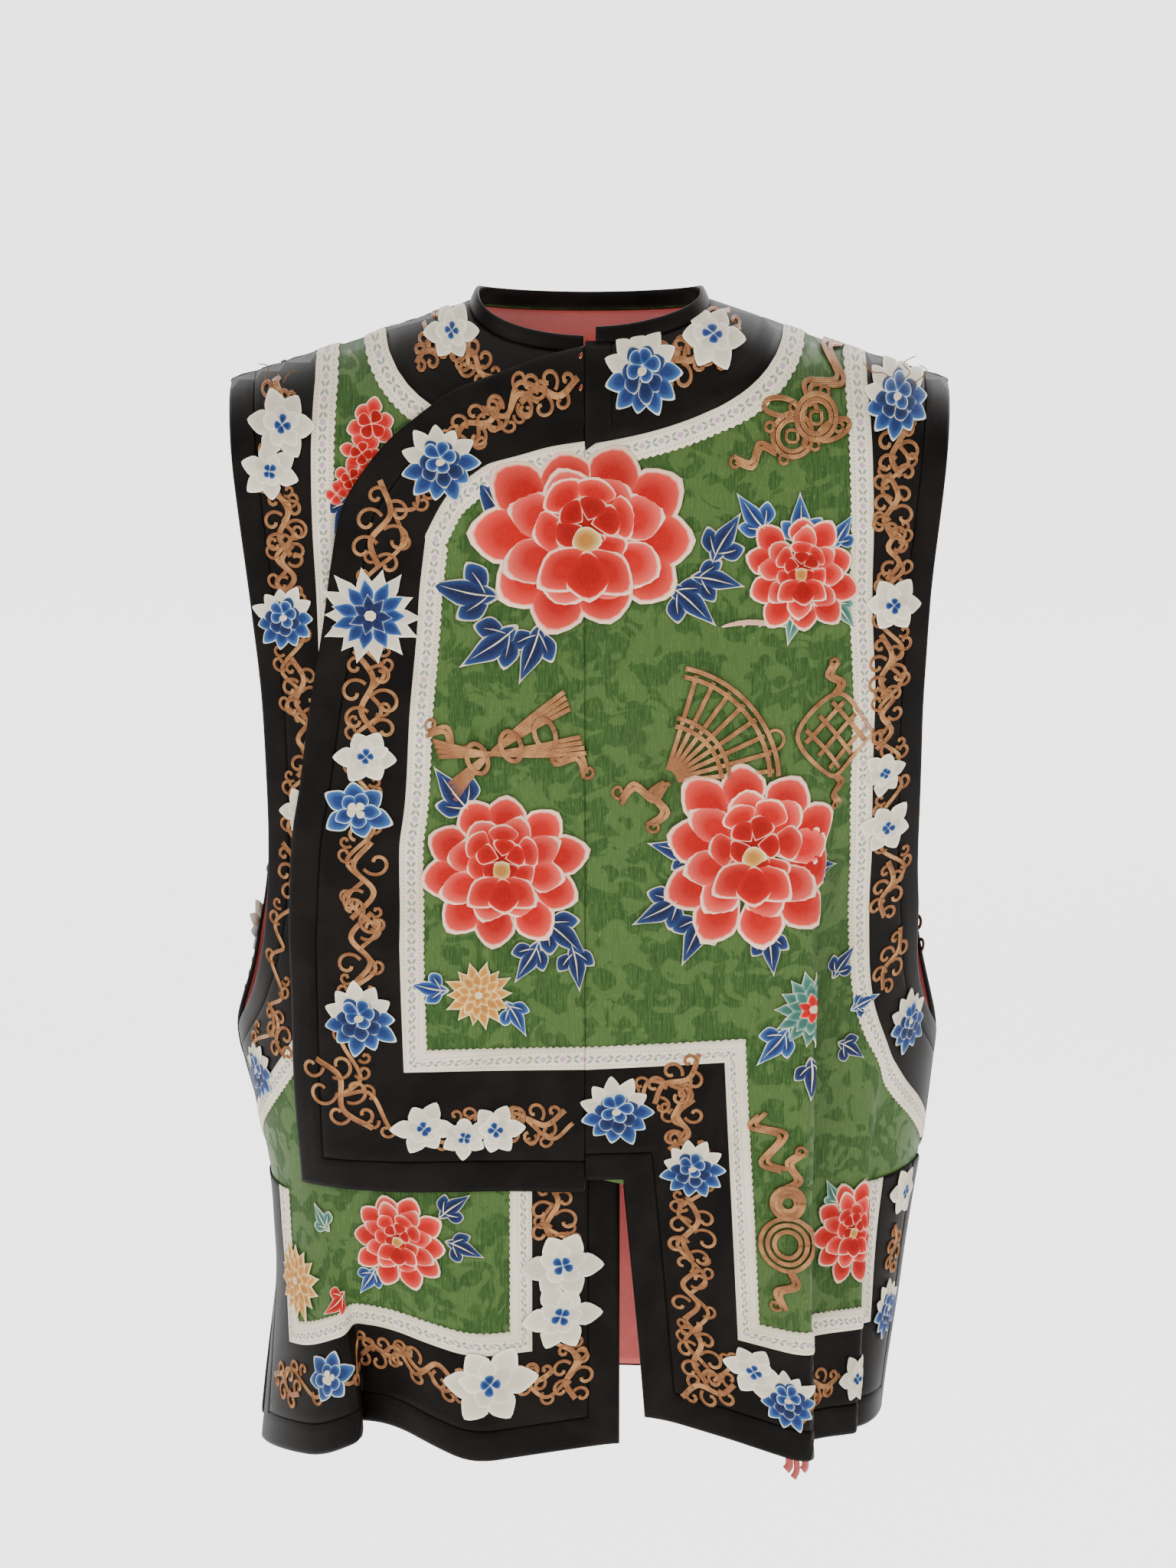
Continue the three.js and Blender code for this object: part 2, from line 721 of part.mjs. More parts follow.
const vest = new THREE.Group();
const outline = (panel) => block(OUTLINES[panel]);
vest.add(
  drape("front_right_under", "under", outline("under"), LAYERS.ground, MATERIALS.green),
  drape("front_flap", "flap", outline("flap"), LAYERS.ground, MATERIALS.green),
  drape("front_left", "left", outline("left"), LAYERS.ground, MATERIALS.green),
  drape("back_left", "back", outline("back").intersect(halfBlock(1)), LAYERS.ground, MATERIALS.green),
  drape("back_right", "back", outline("back").intersect(halfBlock(-1)), LAYERS.ground, MATERIALS.green),
  drape("lining_right_under", "under", outline("under"), LAYERS.lining, MATERIALS.red),
  drape("lining_left", "left", outline("left"), LAYERS.lining, MATERIALS.red),
  drape("lining_back", "back", outline("back"), LAYERS.lining, MATERIALS.red),
  neckStand(MATERIALS.satin),
);
const WORDS = { under: "right_under", flap: "flap", left: "left", back: "back" };
for (const [panel, word] of Object.entries(WORDS)) {
  const names = { binding: word + "_binding", band: word + "_band", ribbon: word + "_ribbon" };
  vest.add(...trimmings(panel, names, MATERIALS));
}

export default vest;
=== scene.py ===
"""Looks of an embroidered silk vest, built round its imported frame.

Each piece of cloth is modelled flat, in millimetres on its pattern, and then laid on the worn shape.
On the pattern, x runs across from the centre line, y runs up from the neck, and z rises from the silk.
"""
import math
import random

import bmesh
import bpy
import numpy as np
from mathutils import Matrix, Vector


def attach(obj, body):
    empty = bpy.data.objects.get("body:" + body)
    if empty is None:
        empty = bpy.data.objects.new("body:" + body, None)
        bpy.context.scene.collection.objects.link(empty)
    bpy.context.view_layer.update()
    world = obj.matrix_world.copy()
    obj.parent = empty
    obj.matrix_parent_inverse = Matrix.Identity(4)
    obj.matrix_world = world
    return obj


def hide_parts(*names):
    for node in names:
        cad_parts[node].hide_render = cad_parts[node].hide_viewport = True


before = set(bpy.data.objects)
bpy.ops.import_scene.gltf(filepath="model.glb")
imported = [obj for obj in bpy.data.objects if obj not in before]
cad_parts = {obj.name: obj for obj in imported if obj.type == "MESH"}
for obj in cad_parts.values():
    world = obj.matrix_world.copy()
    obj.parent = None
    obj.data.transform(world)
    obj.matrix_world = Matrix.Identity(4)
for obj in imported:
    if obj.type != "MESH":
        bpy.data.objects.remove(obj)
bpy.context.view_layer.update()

# Sizes of the cut, in millimetres, as in the solids
LENGTH = 736
NECK_HALF = 75
NECK_TOP = 8
NECK_FRONT = 33
NECK_BACK = 15
SHOULDER_HALF = 229
SHOULDER_SLOPE = 0.328
SIDE_TOP = 480
SLIT_HEAD = 566
CENTRE_SEAM = -3
UNDER_REACH = 18
FLAP_TOP = 35.2
FLAP_BOTTOM = 562
FLAP_HALF = 190
NOTCH = (22, 558)
PLACKET_END = 93
BINDING = 19
ARM_BINDING = 16
RIBBON = 13
FLAP_LIFT = 8
PULL_FROM = 170
SHOULDER_GAP = 0.8
SIDE_GAP = 0.3
FRONT_ROLL = 56
BACK_ROLL = 34
SAG_FROM = 480

# Worn shape at each level: down, front depth, back depth, half width of the flat part, radius of the turn
LEVELS = np.array([
    (0, 74, 60, 160, 520),
    (110, 106, 84, 128, 330),
    (240, 124, 95, 112, 190),
    (400, 122, 95, 108, 136),
    (480, 122, 96, 108, 124),
    (575, 124, 100, 92, 116),
    (745, 128, 108, 100, 120),
])
# Side edge of the worn cloth: down, half width on the wearer's right, on the left, and the gap
SIDE_PLACES = np.array([
    (380, 214, 214, 0.1),
    (480, 229, 226, 1),
    (575, 204, 212, 1),
    (628, 202, 204, 2),
    (745, 215, 190, 26),
])
# Folds: at, width, tuck, depth, from, full
FOLDS = {
    "left": [(138, 34, 39, 30, 215, 520), (224, 30, 30, 20, 430, 610)],
    "under": [(70, 78, 6, 30, 570, 736), (152, 32, 25, -26, 570, 736)],
    "flap": [(0, 60, 2, 5, 400, 562)],
    "back": [(60, 60, 8, -14, 420, 736), (150, 60, 8, 14, 420, 736)],
}
HEM_SAG = {
    "left": [(0, -34), (45, -30), (95, -14), (140, 4), (190, -4), (300, -2)],
    "under": [(-300, 18), (-210, 6), (-165, -16), (-130, -16), (-73, 2), (18, -12)],
    "flap": [(-190, 0), (0, 0)],
    "back": [(-300, 8), (0, 0), (300, 8)],
}
# Curves of the cut, as places down and across
ARMHOLE = [
    (58, 229), (120, 223), (190, 215), (260, 210), (340, 209), (395, 216), (435, 236), (462, 262), (480, 290),
]
# The left front is cut wider at the side, for the cloth that its folds take up
LEFT_ARMHOLE = [
    (58, 229), (120, 223), (190, 216), (260, 217), (340, 231), (395, 249), (435, 270), (462, 297), (480, 325),
]
FLAP_EDGE = [
    (35, 3), (41, 33), (49, 57), (57, 81), (68, 100), (86, 124), (109, 143), (130, 154), (163, 160),
    (201, 165), (248, 173), (299, 180), (337, 186.5), (400, 190), (480, 190), (562, 190),
]
SIDE = [(480, 290), (575, 288), (736, 300)]
LEFT_SIDE = [(480, 325), (575, 325), (736, 339)]
# Widths of the bands that change along their edge, by the place down or across
ARM_BAND = [(41, 44), (58, 41), (97, 36), (154, 31), (240, 26), (340, 27), (395, 34), (435, 37)]
FLAP_BAND = [
    (35, 35), (45, 29), (60, 28), (86, 30), (109, 34), (135, 36), (175, 37), (240, 42), (297, 47), (372, 52),
    (447, 54), (561, 54),
]
# This one is narrower than the solid's, so that the ribbon lies where the photo has it
LEFT_ARM_BAND = [(41, 42), (58, 39), (97, 33), (154, 26), (240, 19), (340, 20), (395, 27), (435, 34)]
LEFT_NECK_BAND = [(-5, 57), (12, 54), (42, 50), (66, 47), (75, 52)]
UNDER_NECK_BAND = [(-75, 59), (-66, 54), (-42, 50)]


# The worn shape

def smooth(t):
    u = np.clip(t, 0, 1)
    return u * u * (3 - 2 * u)


def eased(table, reach, step=2.0):
    """A table with its corners rounded over a reach, as dense rows."""
    table = np.array(table, float)
    at = np.arange(table[0, 0] - reach, table[-1, 0] + reach + step, step)
    window = int(reach / step) * 2 + 1
    columns = [at]
    for k in range(1, table.shape[1]):
        values = np.interp(at, table[:, 0], table[:, k])
        padded = np.pad(values, window // 2, mode="edge")
        columns.append(np.convolve(padded, np.ones(window) / window, mode="valid"))
    return np.stack(columns, 1)


LEVELS_EASED = eased(LEVELS, 26)
SIDES_EASED = eased(SIDE_PLACES, 14)
SAG_EASED = {panel: eased(rows, 14) for panel, rows in HEM_SAG.items()}


def read(table, at, column):
    return np.interp(at, table[:, 0], table[:, column])


def shoulder_drop(across):
    return NECK_TOP + np.maximum(0, np.abs(across) - NECK_HALF) * SHOULDER_SLOPE


def side_at(panel, down):
    rows = np.array(LEFT_SIDE if panel == "left" else SIDE)
    return np.interp(np.maximum(down, SIDE_TOP), rows[:, 0], rows[:, 1])


def in_plan(panel, across, down):
    """x and the depth behind the panel's centre, before the sides are drawn together."""
    is_back = panel == "back"
    hand = np.where(across < 0, -1, 1)
    along = np.abs(across)
    used = along.astype(float)
    step_back = np.zeros_like(used)
    for at, width, tuck, depth, start, full in FOLDS[panel]:
        passed = smooth((along - at) / width) * smooth((down - start) / (full - start))
        used = used - tuck * passed
        step_back = step_back + depth * passed
    front, back, flat, turn = (read(LEVELS_EASED, down, k) for k in (1, 2, 3, 4))
    if is_back:
        turn_back = back + front - turn + 60 * smooth((400 - down) / 400)
        flat, turn = flat + turn - turn_back, turn_back
    angle = np.maximum(0, used - flat) / turn
    x = hand * (np.minimum(used, flat) + turn * np.sin(angle))
    return x, (back if is_back else front) - turn * (1 - np.cos(angle)) - step_back


def worn(panel, across, down):
    """Points on the worn surface of a panel, in millimetres."""
    is_back = panel == "back"
    hand = np.where(across < 0, -1, 1)
    edge = hand * side_at(panel, down)
    reach = (np.abs(across) - PULL_FROM) / (np.abs(edge) - PULL_FROM)
    pull = smooth(reach) * smooth((down - 380) / 100)
    x, depth = in_plan(panel, across, down)
    edge_x, edge_depth = in_plan(panel, edge, down)
    side = np.where(hand < 0, read(SIDES_EASED, down, 1), read(SIDES_EASED, down, 2))
    apart = read(SIDES_EASED, down, 3) / 2
    x = x + (hand * side - edge_x) * pull
    depth = depth + (apart - edge_depth) * pull
    below = np.clip((down - shoulder_drop(across)) / (BACK_ROLL if is_back else FRONT_ROLL), 0, 1)
    roll = np.sqrt(np.maximum(0, 1 - (1 - below) ** 2))
    sag = read(SAG_EASED[panel], across, 1) * smooth((down - SAG_FROM) / (LENGTH - SAG_FROM))
    gap = SIDE_GAP + (SHOULDER_GAP - SIDE_GAP) * (1 - roll)
    y = (1 if is_back else -1) * (depth * roll + gap)
    return np.stack([x, y, -down - sag], 1)


def outward(panel, across, down):
    step = 2.0
    along_x = worn(panel, across + step, down) - worn(panel, across - step, down)
    along_down = worn(panel, across, down + step) - worn(panel, across, down - step)
    normal = np.cross(along_down, along_x)
    normal /= np.maximum(np.linalg.norm(normal, axis=1, keepdims=True), 1e-9)
    return -normal if panel == "back" else normal


def lift_of(panel, across, down):
    """How far the flap, and the left front beside it, stand off the cloth beneath."""
    lifted = FLAP_LIFT if panel in ("left", "flap") else 0
    return lifted * (1 - smooth((across - 40) / 150)) * smooth((down - shoulder_drop(across) + 10) / 34)


def puckers(panel, across, down):
    """Small drag lines and slack of real cloth, in millimetres outwards."""
    phase = {"under": 0.7, "flap": 2.1, "left": 2.1, "back": 4.0}[panel]
    inside = smooth((down - shoulder_drop(across)) / 60)
    slack = 0.9 * np.sin(down / 71 + across / 47 + phase) * np.sin(across / 63 - down / 190 + phase)
    fine = 0.35 * np.sin(down / 19 + 1.7 * np.sin(across / 37 + phase)) * np.sin(across / 29 + phase)
    drag = 0.5 * np.sin((down + 0.6 * across) / 33 + phase) * smooth((down - 300) / 200)
    return inside * (slack + fine + drag)


def laid(panel, points):
    """Flat points (across, up, height) laid on the worn shape, in metres."""
    across, height = points[:, 0], points[:, 2]
    down = np.maximum(-points[:, 1], shoulder_drop(across) - 0.2)
    surface = worn(panel, across, down)
    rise = height + lift_of(panel, across, down) + puckers(panel, across, down)
    return (surface + outward(panel, across, down) * rise[:, None]) * 0.001


# Meshes

def grid_of(bm, columns, rows):
    """A grid of faces, with its vertices as (column, row, vertex)."""
    made = bmesh.ops.create_grid(bm, x_segments=columns, y_segments=rows, size=1)["verts"]
    return [(round((v.co.x + 1) / 2 * columns), round((v.co.y + 1) / 2 * rows), v) for v in made]


def thicken(bm, depth):
    """Closes a sheet of faces into a thin body that reaches down by a depth."""
    made = bmesh.ops.extrude_face_region(bm, geom=list(bm.faces), use_keep_orig=True)
    lower = [item for item in made["geom"] if isinstance(item, bmesh.types.BMVert)]
    bmesh.ops.translate(bm, verts=lower, vec=(0, 0, -depth))
    bmesh.ops.recalc_face_normals(bm, faces=bm.faces)


def mesh_of(bm, name):
    mesh = bpy.data.meshes.new(name)
    bm.to_mesh(mesh)
    bm.free()
    return mesh


def points_of(mesh):
    points = np.zeros(len(mesh.vertices) * 3)
    mesh.vertices.foreach_get("co", points)
    return points.reshape(-1, 3)


def map_cloth(mesh, places):
    """Keeps each vertex's place on the cloth, in metres, as the UV map that the materials read."""
    corner = np.zeros(len(mesh.loops), np.int32)
    mesh.loops.foreach_get("vertex_index", corner)
    mesh.uv_layers.new(name="cloth").data.foreach_set("uv", places[corner].ravel())


def mark(bm, placed):
    """The same for a mesh in the making, from a table of its vertices."""
    uv = bm.loops.layers.uv.new("cloth")
    for face in bm.faces:
        for loop in face.loops:
            loop[uv].uv = placed[loop.vert]


def close_ends(bm):
    bmesh.ops.remove_doubles(bm, verts=bm.verts, dist=1e-6)
    bmesh.ops.holes_fill(bm, edges=[edge for edge in bm.edges if edge.is_boundary])
    bmesh.ops.recalc_face_normals(bm, faces=bm.faces)


def lay(mesh, panel, points):
    mesh.vertices.foreach_set("co", laid(panel, points).ravel())
    if panel == "back":
        mesh.flip_normals()


def laid_piece(name, panel, bm, material, slot, replaced=()):
    """Makes a piece from a flat mesh, with its pattern kept as a UV map, and lays it on the panel."""
    mesh = mesh_of(bm, name)
    points = points_of(mesh)
    if not mesh.uv_layers:
        map_cloth(mesh, points[:, :2] * 0.001)
    lay(mesh, panel, points)
    return finished(name, mesh, material, slot, replaced)


def placed_object(name, data):
    made = bpy.data.objects.new(name, data)
    bpy.context.collection.objects.link(made)
    return made


def smooth_mesh(mesh, material):
    mesh.polygons.foreach_set("use_smooth", [True] * len(mesh.polygons))
    mesh.materials.append(material)
    mesh.update()


def finished(name, mesh, material, slot, replaced=()):
    smooth_mesh(mesh, material)
    piece = placed_object(name, mesh)
    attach(piece, "root")
    if replaced:
        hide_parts(*replaced)
    return piece


def nodes_named(start):
    return [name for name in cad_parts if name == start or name.startswith(start + "_")]


# Paths on the pattern, as (across, down) points

def spline(points, step=4.0):
    """A smooth curve through points, as evenly spaced points."""
    p = np.array(points, float)
    p = np.vstack([2 * p[0] - p[1], p, 2 * p[-1] - p[-2]])
    dense = []
    for k in range(1, len(p) - 2):
        a, b, c, d = p[k - 1], p[k], p[k + 1], p[k + 2]
        t = np.linspace(0, 1, 12, endpoint=False)[:, None]
        curve = (2 * a - 5 * b + 4 * c - d) * t ** 2 + (3 * (b - c) + d - a) * t ** 3
        dense.append(0.5 * (2 * b + (c - a) * t + curve))
    dense = np.vstack([*dense, p[-2:-1]])
    length = np.concatenate([[0], np.cumsum(np.linalg.norm(np.diff(dense, axis=0), axis=1))])
    at = np.linspace(0, length[-1], max(2, int(length[-1] / step)) + 1)
    return [tuple(float(np.interp(x, length, dense[:, k])) for k in range(dense.shape[1])) for x in at]


def mirrored(path):
    return [(-across, down) for across, down in path]


def neck_path(depth, start, end, steps=24):
    angles = [start + (end - start) * k / steps for k in range(steps + 1)]
    return [(NECK_HALF * math.sin(a), NECK_TOP + (depth - NECK_TOP) * math.cos(a)) for a in angles]


QUARTER = math.pi / 2
ARM_PATH = spline([(across, down) for down, across in ARMHOLE])
LEFT_ARM_PATH = spline([(across, down) for down, across in LEFT_ARMHOLE])
FLAP_PATH = spline([(-across, down) for down, across in FLAP_EDGE[:-2]]) + [(-FLAP_HALF, FLAP_BOTTOM)]
SHOULDER_TIP = NECK_TOP + (SHOULDER_HALF - NECK_HALF) * SHOULDER_SLOPE
SHOULDER_LINE = ((NECK_HALF, NECK_TOP), (SHOULDER_HALF, SHOULDER_TIP))
SIDE_LINE = ((290, SIDE_TOP), (288, 575))
LEFT_SIDE_LINE = ((325, SIDE_TOP), (325, 575))


def slit_path(panel, hand):
    return [(hand * float(side_at(panel, down)), down) for down in (SLIT_HEAD, LENGTH)]


def drawn_on(path, by, open_ends):
    """A path drawn on beyond its open ends."""
    def beyond(a, b):
        length = math.hypot(a[0] - b[0], a[1] - b[1])
        return (a[0] + (a[0] - b[0]) * by / length, a[1] + (a[1] - b[1]) * by / length)
    first = [beyond(path[0], path[1])] if open_ends[0] else []
    last = [beyond(path[-1], path[-2])] if open_ends[1] else []
    return first + list(path) + last


def offset_points(path, distances):
    """Points beside a path, from a distance at the start and the end of each stretch, with mitred corners."""
    ways = []
    for (x0, y0), (x1, y1) in zip(path, path[1:]):
        length = math.hypot(x1 - x0, y1 - y0)
        ways.append((-(y1 - y0) / length, (x1 - x0) / length))
    out = []
    for k, (x, y) in enumerate(path):
        before, after = max(0, k - 1), min(len(ways) - 1, k)
        (ax, ay), (bx, by) = ways[before], ways[after]
        p, q = distances[before][1 if k else 0], distances[after][0 if k < len(ways) else 1]
        turn = ax * by - ay * bx
        if abs(turn) < 0.04:
            mid_x, mid_y = ax + bx, ay + by
            size = (mid_x ** 2 + mid_y ** 2) / 2
            out.append((x + mid_x * (p + q) / 2 / size, y + mid_y * (p + q) / 2 / size))
        else:
            out.append((x + (p * by - q * ay) / turn, y + (q * ax - p * bx) / turn))
    return out


def ladder(path, hand, inner, outer, step, open_ends):
    """Rows of a strip beside a path: (along, inner point, outer point)."""
    path = drawn_on(path, 70, open_ends)
    inside = offset_points(path, [[hand * value for value in pair] for pair in widths(inner, path)])
    outside = offset_points(path, [[hand * value for value in pair] for pair in widths(outer, path)])
    rows = []
    for k in range(len(path) - 1):
        length = max(math.dist(inside[k], inside[k + 1]), math.dist(outside[k], outside[k + 1]))
        pieces = max(1, round(length / step))
        for i in range(pieces + (k == len(path) - 2)):
            t = i / pieces
            mix = lambda a, b: (a[0] + (b[0] - a[0]) * t, a[1] + (b[1] - a[1]) * t)
            rows.append((mix(inside[k], inside[k + 1]), mix(outside[k], outside[k + 1])))
    middle = np.array(rows).mean(1)
    along = np.concatenate([[0], np.cumsum(np.hypot(*np.diff(middle, axis=0).T))])
    return [(float(far), a, b) for far, (a, b) in zip(along, rows)]


def widths(width, path):
    """A width at the start and the end of each stretch: one number, or a function of its place."""
    if not callable(width):
        return [(width, width)] * (len(path) - 1)
    return [(width(k, *path[k]), width(k, *path[k + 1])) for k in range(len(path) - 1)]


def tabled(table, axis):
    """Widths with something more, from a table by the place across (0) or down (1)."""
    rows = eased(table, 10)
    return lambda more: lambda k, *place: float(np.interp(place[axis], rows[:, 0], rows[:, 1])) + more


def strip(
    target, path, hand, inner, outer, profile, cuts=(), step=4.0, scallop=0.0, open_ends=(1, 1), thick=0.7
):
    """Adds a flat strip beside a path to a mesh. The profile gives (share across, height) columns."""
    rows = ladder(path, hand, inner, outer, step, open_ends)
    bm = bmesh.new()
    placed = {}
    for i, j, vert in grid_of(bm, len(profile) - 1, len(rows) - 1):
        along, a, b = rows[j]
        share, height = profile[i]
        width = math.hypot(b[0] - a[0], b[1] - a[1]) or 1
        reach = share
        if scallop and share == profile[-1][0]:
            reach += scallop * abs(math.sin(math.pi * along / 4.6)) / width
        vert.co = (a[0] + (b[0] - a[0]) * reach, -(a[1] + (b[1] - a[1]) * reach), height)
        placed[vert] = (along * 0.001, share * width * 0.001)
    mark(bm, placed)
    bmesh.ops.recalc_face_normals(bm, faces=bm.faces)
    if sum(face.normal.z for face in bm.faces) < 0:
        bmesh.ops.reverse_faces(bm, faces=bm.faces)
    for (ax, ad), (bx, bd), keep in cuts:
        normal = Vector((-(bd - ad), -(bx - ax), 0)).normalized()
        side = (keep[0] - ax) * normal.x + (-keep[1] + ad) * normal.y
        if side > 0:
            normal = -normal
        geometry = list(bm.verts) + list(bm.edges) + list(bm.faces)
        bmesh.ops.bisect_plane(
            bm, geom=geometry, dist=1e-5, plane_co=(ax, -ad, 0), plane_no=normal, clear_outer=True
        )
    thicken(bm, thick)
    mesh = mesh_of(bm, "strip")
    target.from_mesh(mesh)
    bpy.data.meshes.remove(mesh)


def cut_line(line, hand):
    """A cutting line of the pattern, on the wearer's left (1) or right (-1), and a point that stays."""
    (ax, ad), (bx, bd) = line
    return ((hand * ax, ad), (hand * bx, bd), (hand * 150, 300))


# Materials

class Ink:
    """A socket of a material, for writing shader maths as expressions."""

    def __init__(self, paint, socket):
        self.paint = paint
        self.socket = socket

    def maths(self, operation, *values):
        return self.paint.node("ShaderNodeMath", {"operation": operation}, dict(enumerate(values)))

    def __add__(self, other):
        return self.maths("ADD", self, other)

    __radd__ = __add__

    def __sub__(self, other):
        return self.maths("SUBTRACT", self, other)

    def __rsub__(self, other):
        return self.maths("SUBTRACT", other, self)

    def __mul__(self, other):
        return self.maths("MULTIPLY", self, other)

    def power(self, other):
        return self.maths("POWER", self, other)

    def sine(self):
        return self.maths("SINE", self)

    def size(self):
        return self.maths("ABSOLUTE", self)

    def turn(self, length):
        return self.maths("MODULO", self, length)

    def above(self, edge):
        return self.maths("GREATER_THAN", self, edge)

    def ramp(self, low, high):
        sockets = {"Value": self, "From Min": low, "From Max": high}
        return self.paint.node("ShaderNodeMapRange", {"interpolation_type": "SMOOTHSTEP"}, sockets)


class Paint:
    """A material made of nodes."""

    def __init__(self, name, **constants):
        self.material = bpy.data.materials.new(name)
        self.material.use_nodes = True
        self.tree = self.material.node_tree
        self.shader = self.tree.nodes["Principled BSDF"]
        self.into(**constants)

    def give(self, socket, value):
        """Links a socket to an ink, or sets it to a plain value."""
        if isinstance(value, Ink):
            self.tree.links.new(value.socket, socket)
        else:
            socket.default_value = value

    def node(self, kind, settings={}, sockets={}, out=0):
        made = self.tree.nodes.new(kind)
        for key, value in settings.items():
            setattr(made, key, value)
        for key, value in sockets.items():
            self.give(made.inputs[key], value)
        return Ink(self, made.outputs[out])

    def pattern(self):
        """The flat cloth's own UV map, split in its two directions, in millimetres."""
        uv = self.node("ShaderNodeUVMap", {"uv_map": "cloth"})
        split = self.tree.nodes.new("ShaderNodeSeparateXYZ")
        self.tree.links.new(uv.socket, split.inputs[0])
        return uv, Ink(self, split.outputs[0]) * 1000, Ink(self, split.outputs[1]) * 1000

    def stretched(self, vector, scale):
        return self.node("ShaderNodeMapping", {}, {"Vector": vector, "Scale": scale})

    def noise(self, vector, scale, detail=3.0, rough=0.55, warp=0.0):
        sockets = {"Vector": vector, "Scale": scale, "Detail": detail, "Roughness": rough, "Distortion": warp}
        return self.node("ShaderNodeTexNoise", {}, sockets)

    def mix(self, share, a, b):
        made = self.tree.nodes.new("ShaderNodeMix")
        made.data_type = "RGBA"
        for index, value in ((0, share), (6, a), (7, b)):
            self.give(made.inputs[index], (*value, 1) if isinstance(value, tuple) else value)
        return Ink(self, made.outputs[2])

    def bump(self, height, distance, strength=1.0):
        return self.node("ShaderNodeBump", {}, {"Strength": strength, "Distance": distance, "Height": height})

    def into(self, **links):
        for key, value in links.items():
            self.give(self.shader.inputs[key.replace("_", " ")], value)
        return self.material


def damask_silk():
    """Green silk with faint woven foliage, and fine upright slubs."""
    paint = Paint("green damask silk", Specular_IOR_Level=0.12)
    uv, across, up = paint.pattern()
    leaf = paint.noise(uv, 42, 1.5, 0.5, 2.2)
    cells = {"Vector": uv, "Scale": 70, "Smoothness": 0.4}
    stem = paint.node("ShaderNodeTexVoronoi", {"feature": "SMOOTH_F1"}, cells)
    figure = (leaf + (stem * 0.5 - 0.2)).ramp(0.53, 0.6)
    slub = paint.noise(paint.stretched(uv, (1100, 70, 1)), 1.0, 2.0, 0.6)
    fleck = paint.noise(paint.stretched(uv, (1700, 230, 1)), 1.0, 1.0, 0.5)
    worn_tone = paint.noise(uv, 7, 2.0, 0.5)
    ground = paint.mix(slub.ramp(0.35, 0.7), (0.014, 0.04, 0.007), (0.034, 0.075, 0.015))
    ground = paint.mix(figure * 0.4, ground, (0.07, 0.12, 0.03))
    ground = paint.mix(fleck.ramp(0.64, 0.74) * 0.5, ground, (0.14, 0.17, 0.05))
    ground = paint.mix(worn_tone.ramp(0.5, 0.8) * 0.35, ground, (0.04, 0.06, 0.02))
    weft = (up * 9.0).sine() * 0.5 + (across * 7.0).sine() * 0.3
    height = weft + slub * 1.6 + figure * 1.2
    return paint.into(
        Base_Color=ground,
        Roughness=0.62 - figure * 0.14,
        Normal=paint.bump(height, 0.00012, 0.6),
    )


def black_satin():
    paint = Paint("black satin", Specular_IOR_Level=0.06)
    uv, along, over = paint.pattern()
    cloud = paint.noise(uv, 25, 3.0)
    rib = (over * 10.0).sine() * 0.5 + (along * 6.0).sine() * 0.2
    colour = paint.mix(cloud.ramp(0.35, 0.75), (0.002, 0.0014, 0.001), (0.006, 0.0042, 0.003))
    dust = paint.noise(paint.stretched(uv, (260, 1400, 1)), 1.0, 2.0)
    colour = paint.mix(dust.ramp(0.66, 0.76) * 0.35, colour, (0.024, 0.016, 0.011))
    return paint.into(
        Base_Color=colour,
        Roughness=0.42 + cloud * 0.16,
        Normal=paint.bump(rib + cloud * 2.0, 0.00008, 0.5),
    )


def woven_ribbon():
    paint = Paint("woven ribbon", Sheen_Weight=0.1)
    uv, along, over = paint.pattern()
    a = (along + 1200).turn(12.5) - 6.25
    o = over - RIBBON / 2
    wobble = paint.noise(uv, 700, 1.0) * 0.9 - 0.45
    petals = ((a + wobble) * (a + wobble) + (o * 1.1 + wobble) * (o * 1.1 + wobble)).power(0.5)
    flower = 1 - petals.ramp(1.5, 2.2)
    heart = 1 - petals.ramp(0.4, 0.8)
    beside = a.size() - 3.9
    lean = (o.size() - 1.4 + beside * 0.5).power(2.0)
    spray = (beside * beside * 0.45 + lean * 1.5).power(0.5) + wobble * 0.4
    leaf = 1 - spray.ramp(0.8, 1.4)
    edge = (o.size() - 4.7).size()
    dots = (along * 2.6).sine().above(0.0) * (1 - edge.ramp(0.3, 0.7))
    cloud = paint.noise(uv, 20, 3.0)
    colour = paint.mix(cloud.ramp(0.35, 0.75), (0.62, 0.55, 0.42), (0.5, 0.42, 0.29))
    colour = paint.mix(dots * 0.6, colour, (0.22, 0.2, 0.13))
    colour = paint.mix(leaf * 0.85, colour, (0.09, 0.14, 0.1))
    colour = paint.mix(flower * 0.8, colour, (0.3, 0.19, 0.3))
    colour = paint.mix(heart * 0.9, colour, (0.5, 0.2, 0.22))
    weave = (along * 9.0).sine() * 0.5 + (over * 9.0).sine() * 0.5
    return paint.into(
        Base_Color=colour,
        Roughness=0.72,
        Normal=paint.bump(weave + flower * 2 + leaf * 2, 0.00012, 0.6),
    )


def red_lining():
    paint = Paint("red lining silk", Sheen_Weight=0.2)
    uv, across, up = paint.pattern()
    cloud = paint.noise(uv, 14, 3.0)
    thread = paint.noise(paint.stretched(uv, (1100, 120, 1)), 1.0, 2.0)
    colour = paint.mix(cloud.ramp(0.3, 0.75), (0.22, 0.014, 0.011), (0.32, 0.03, 0.022))
    colour = paint.mix(thread.ramp(0.5, 0.8) * 0.4, colour, (0.42, 0.08, 0.055))
    return paint.into(Base_Color=colour, Roughness=0.6, Normal=paint.bump(thread + cloud, 0.0001, 0.5))


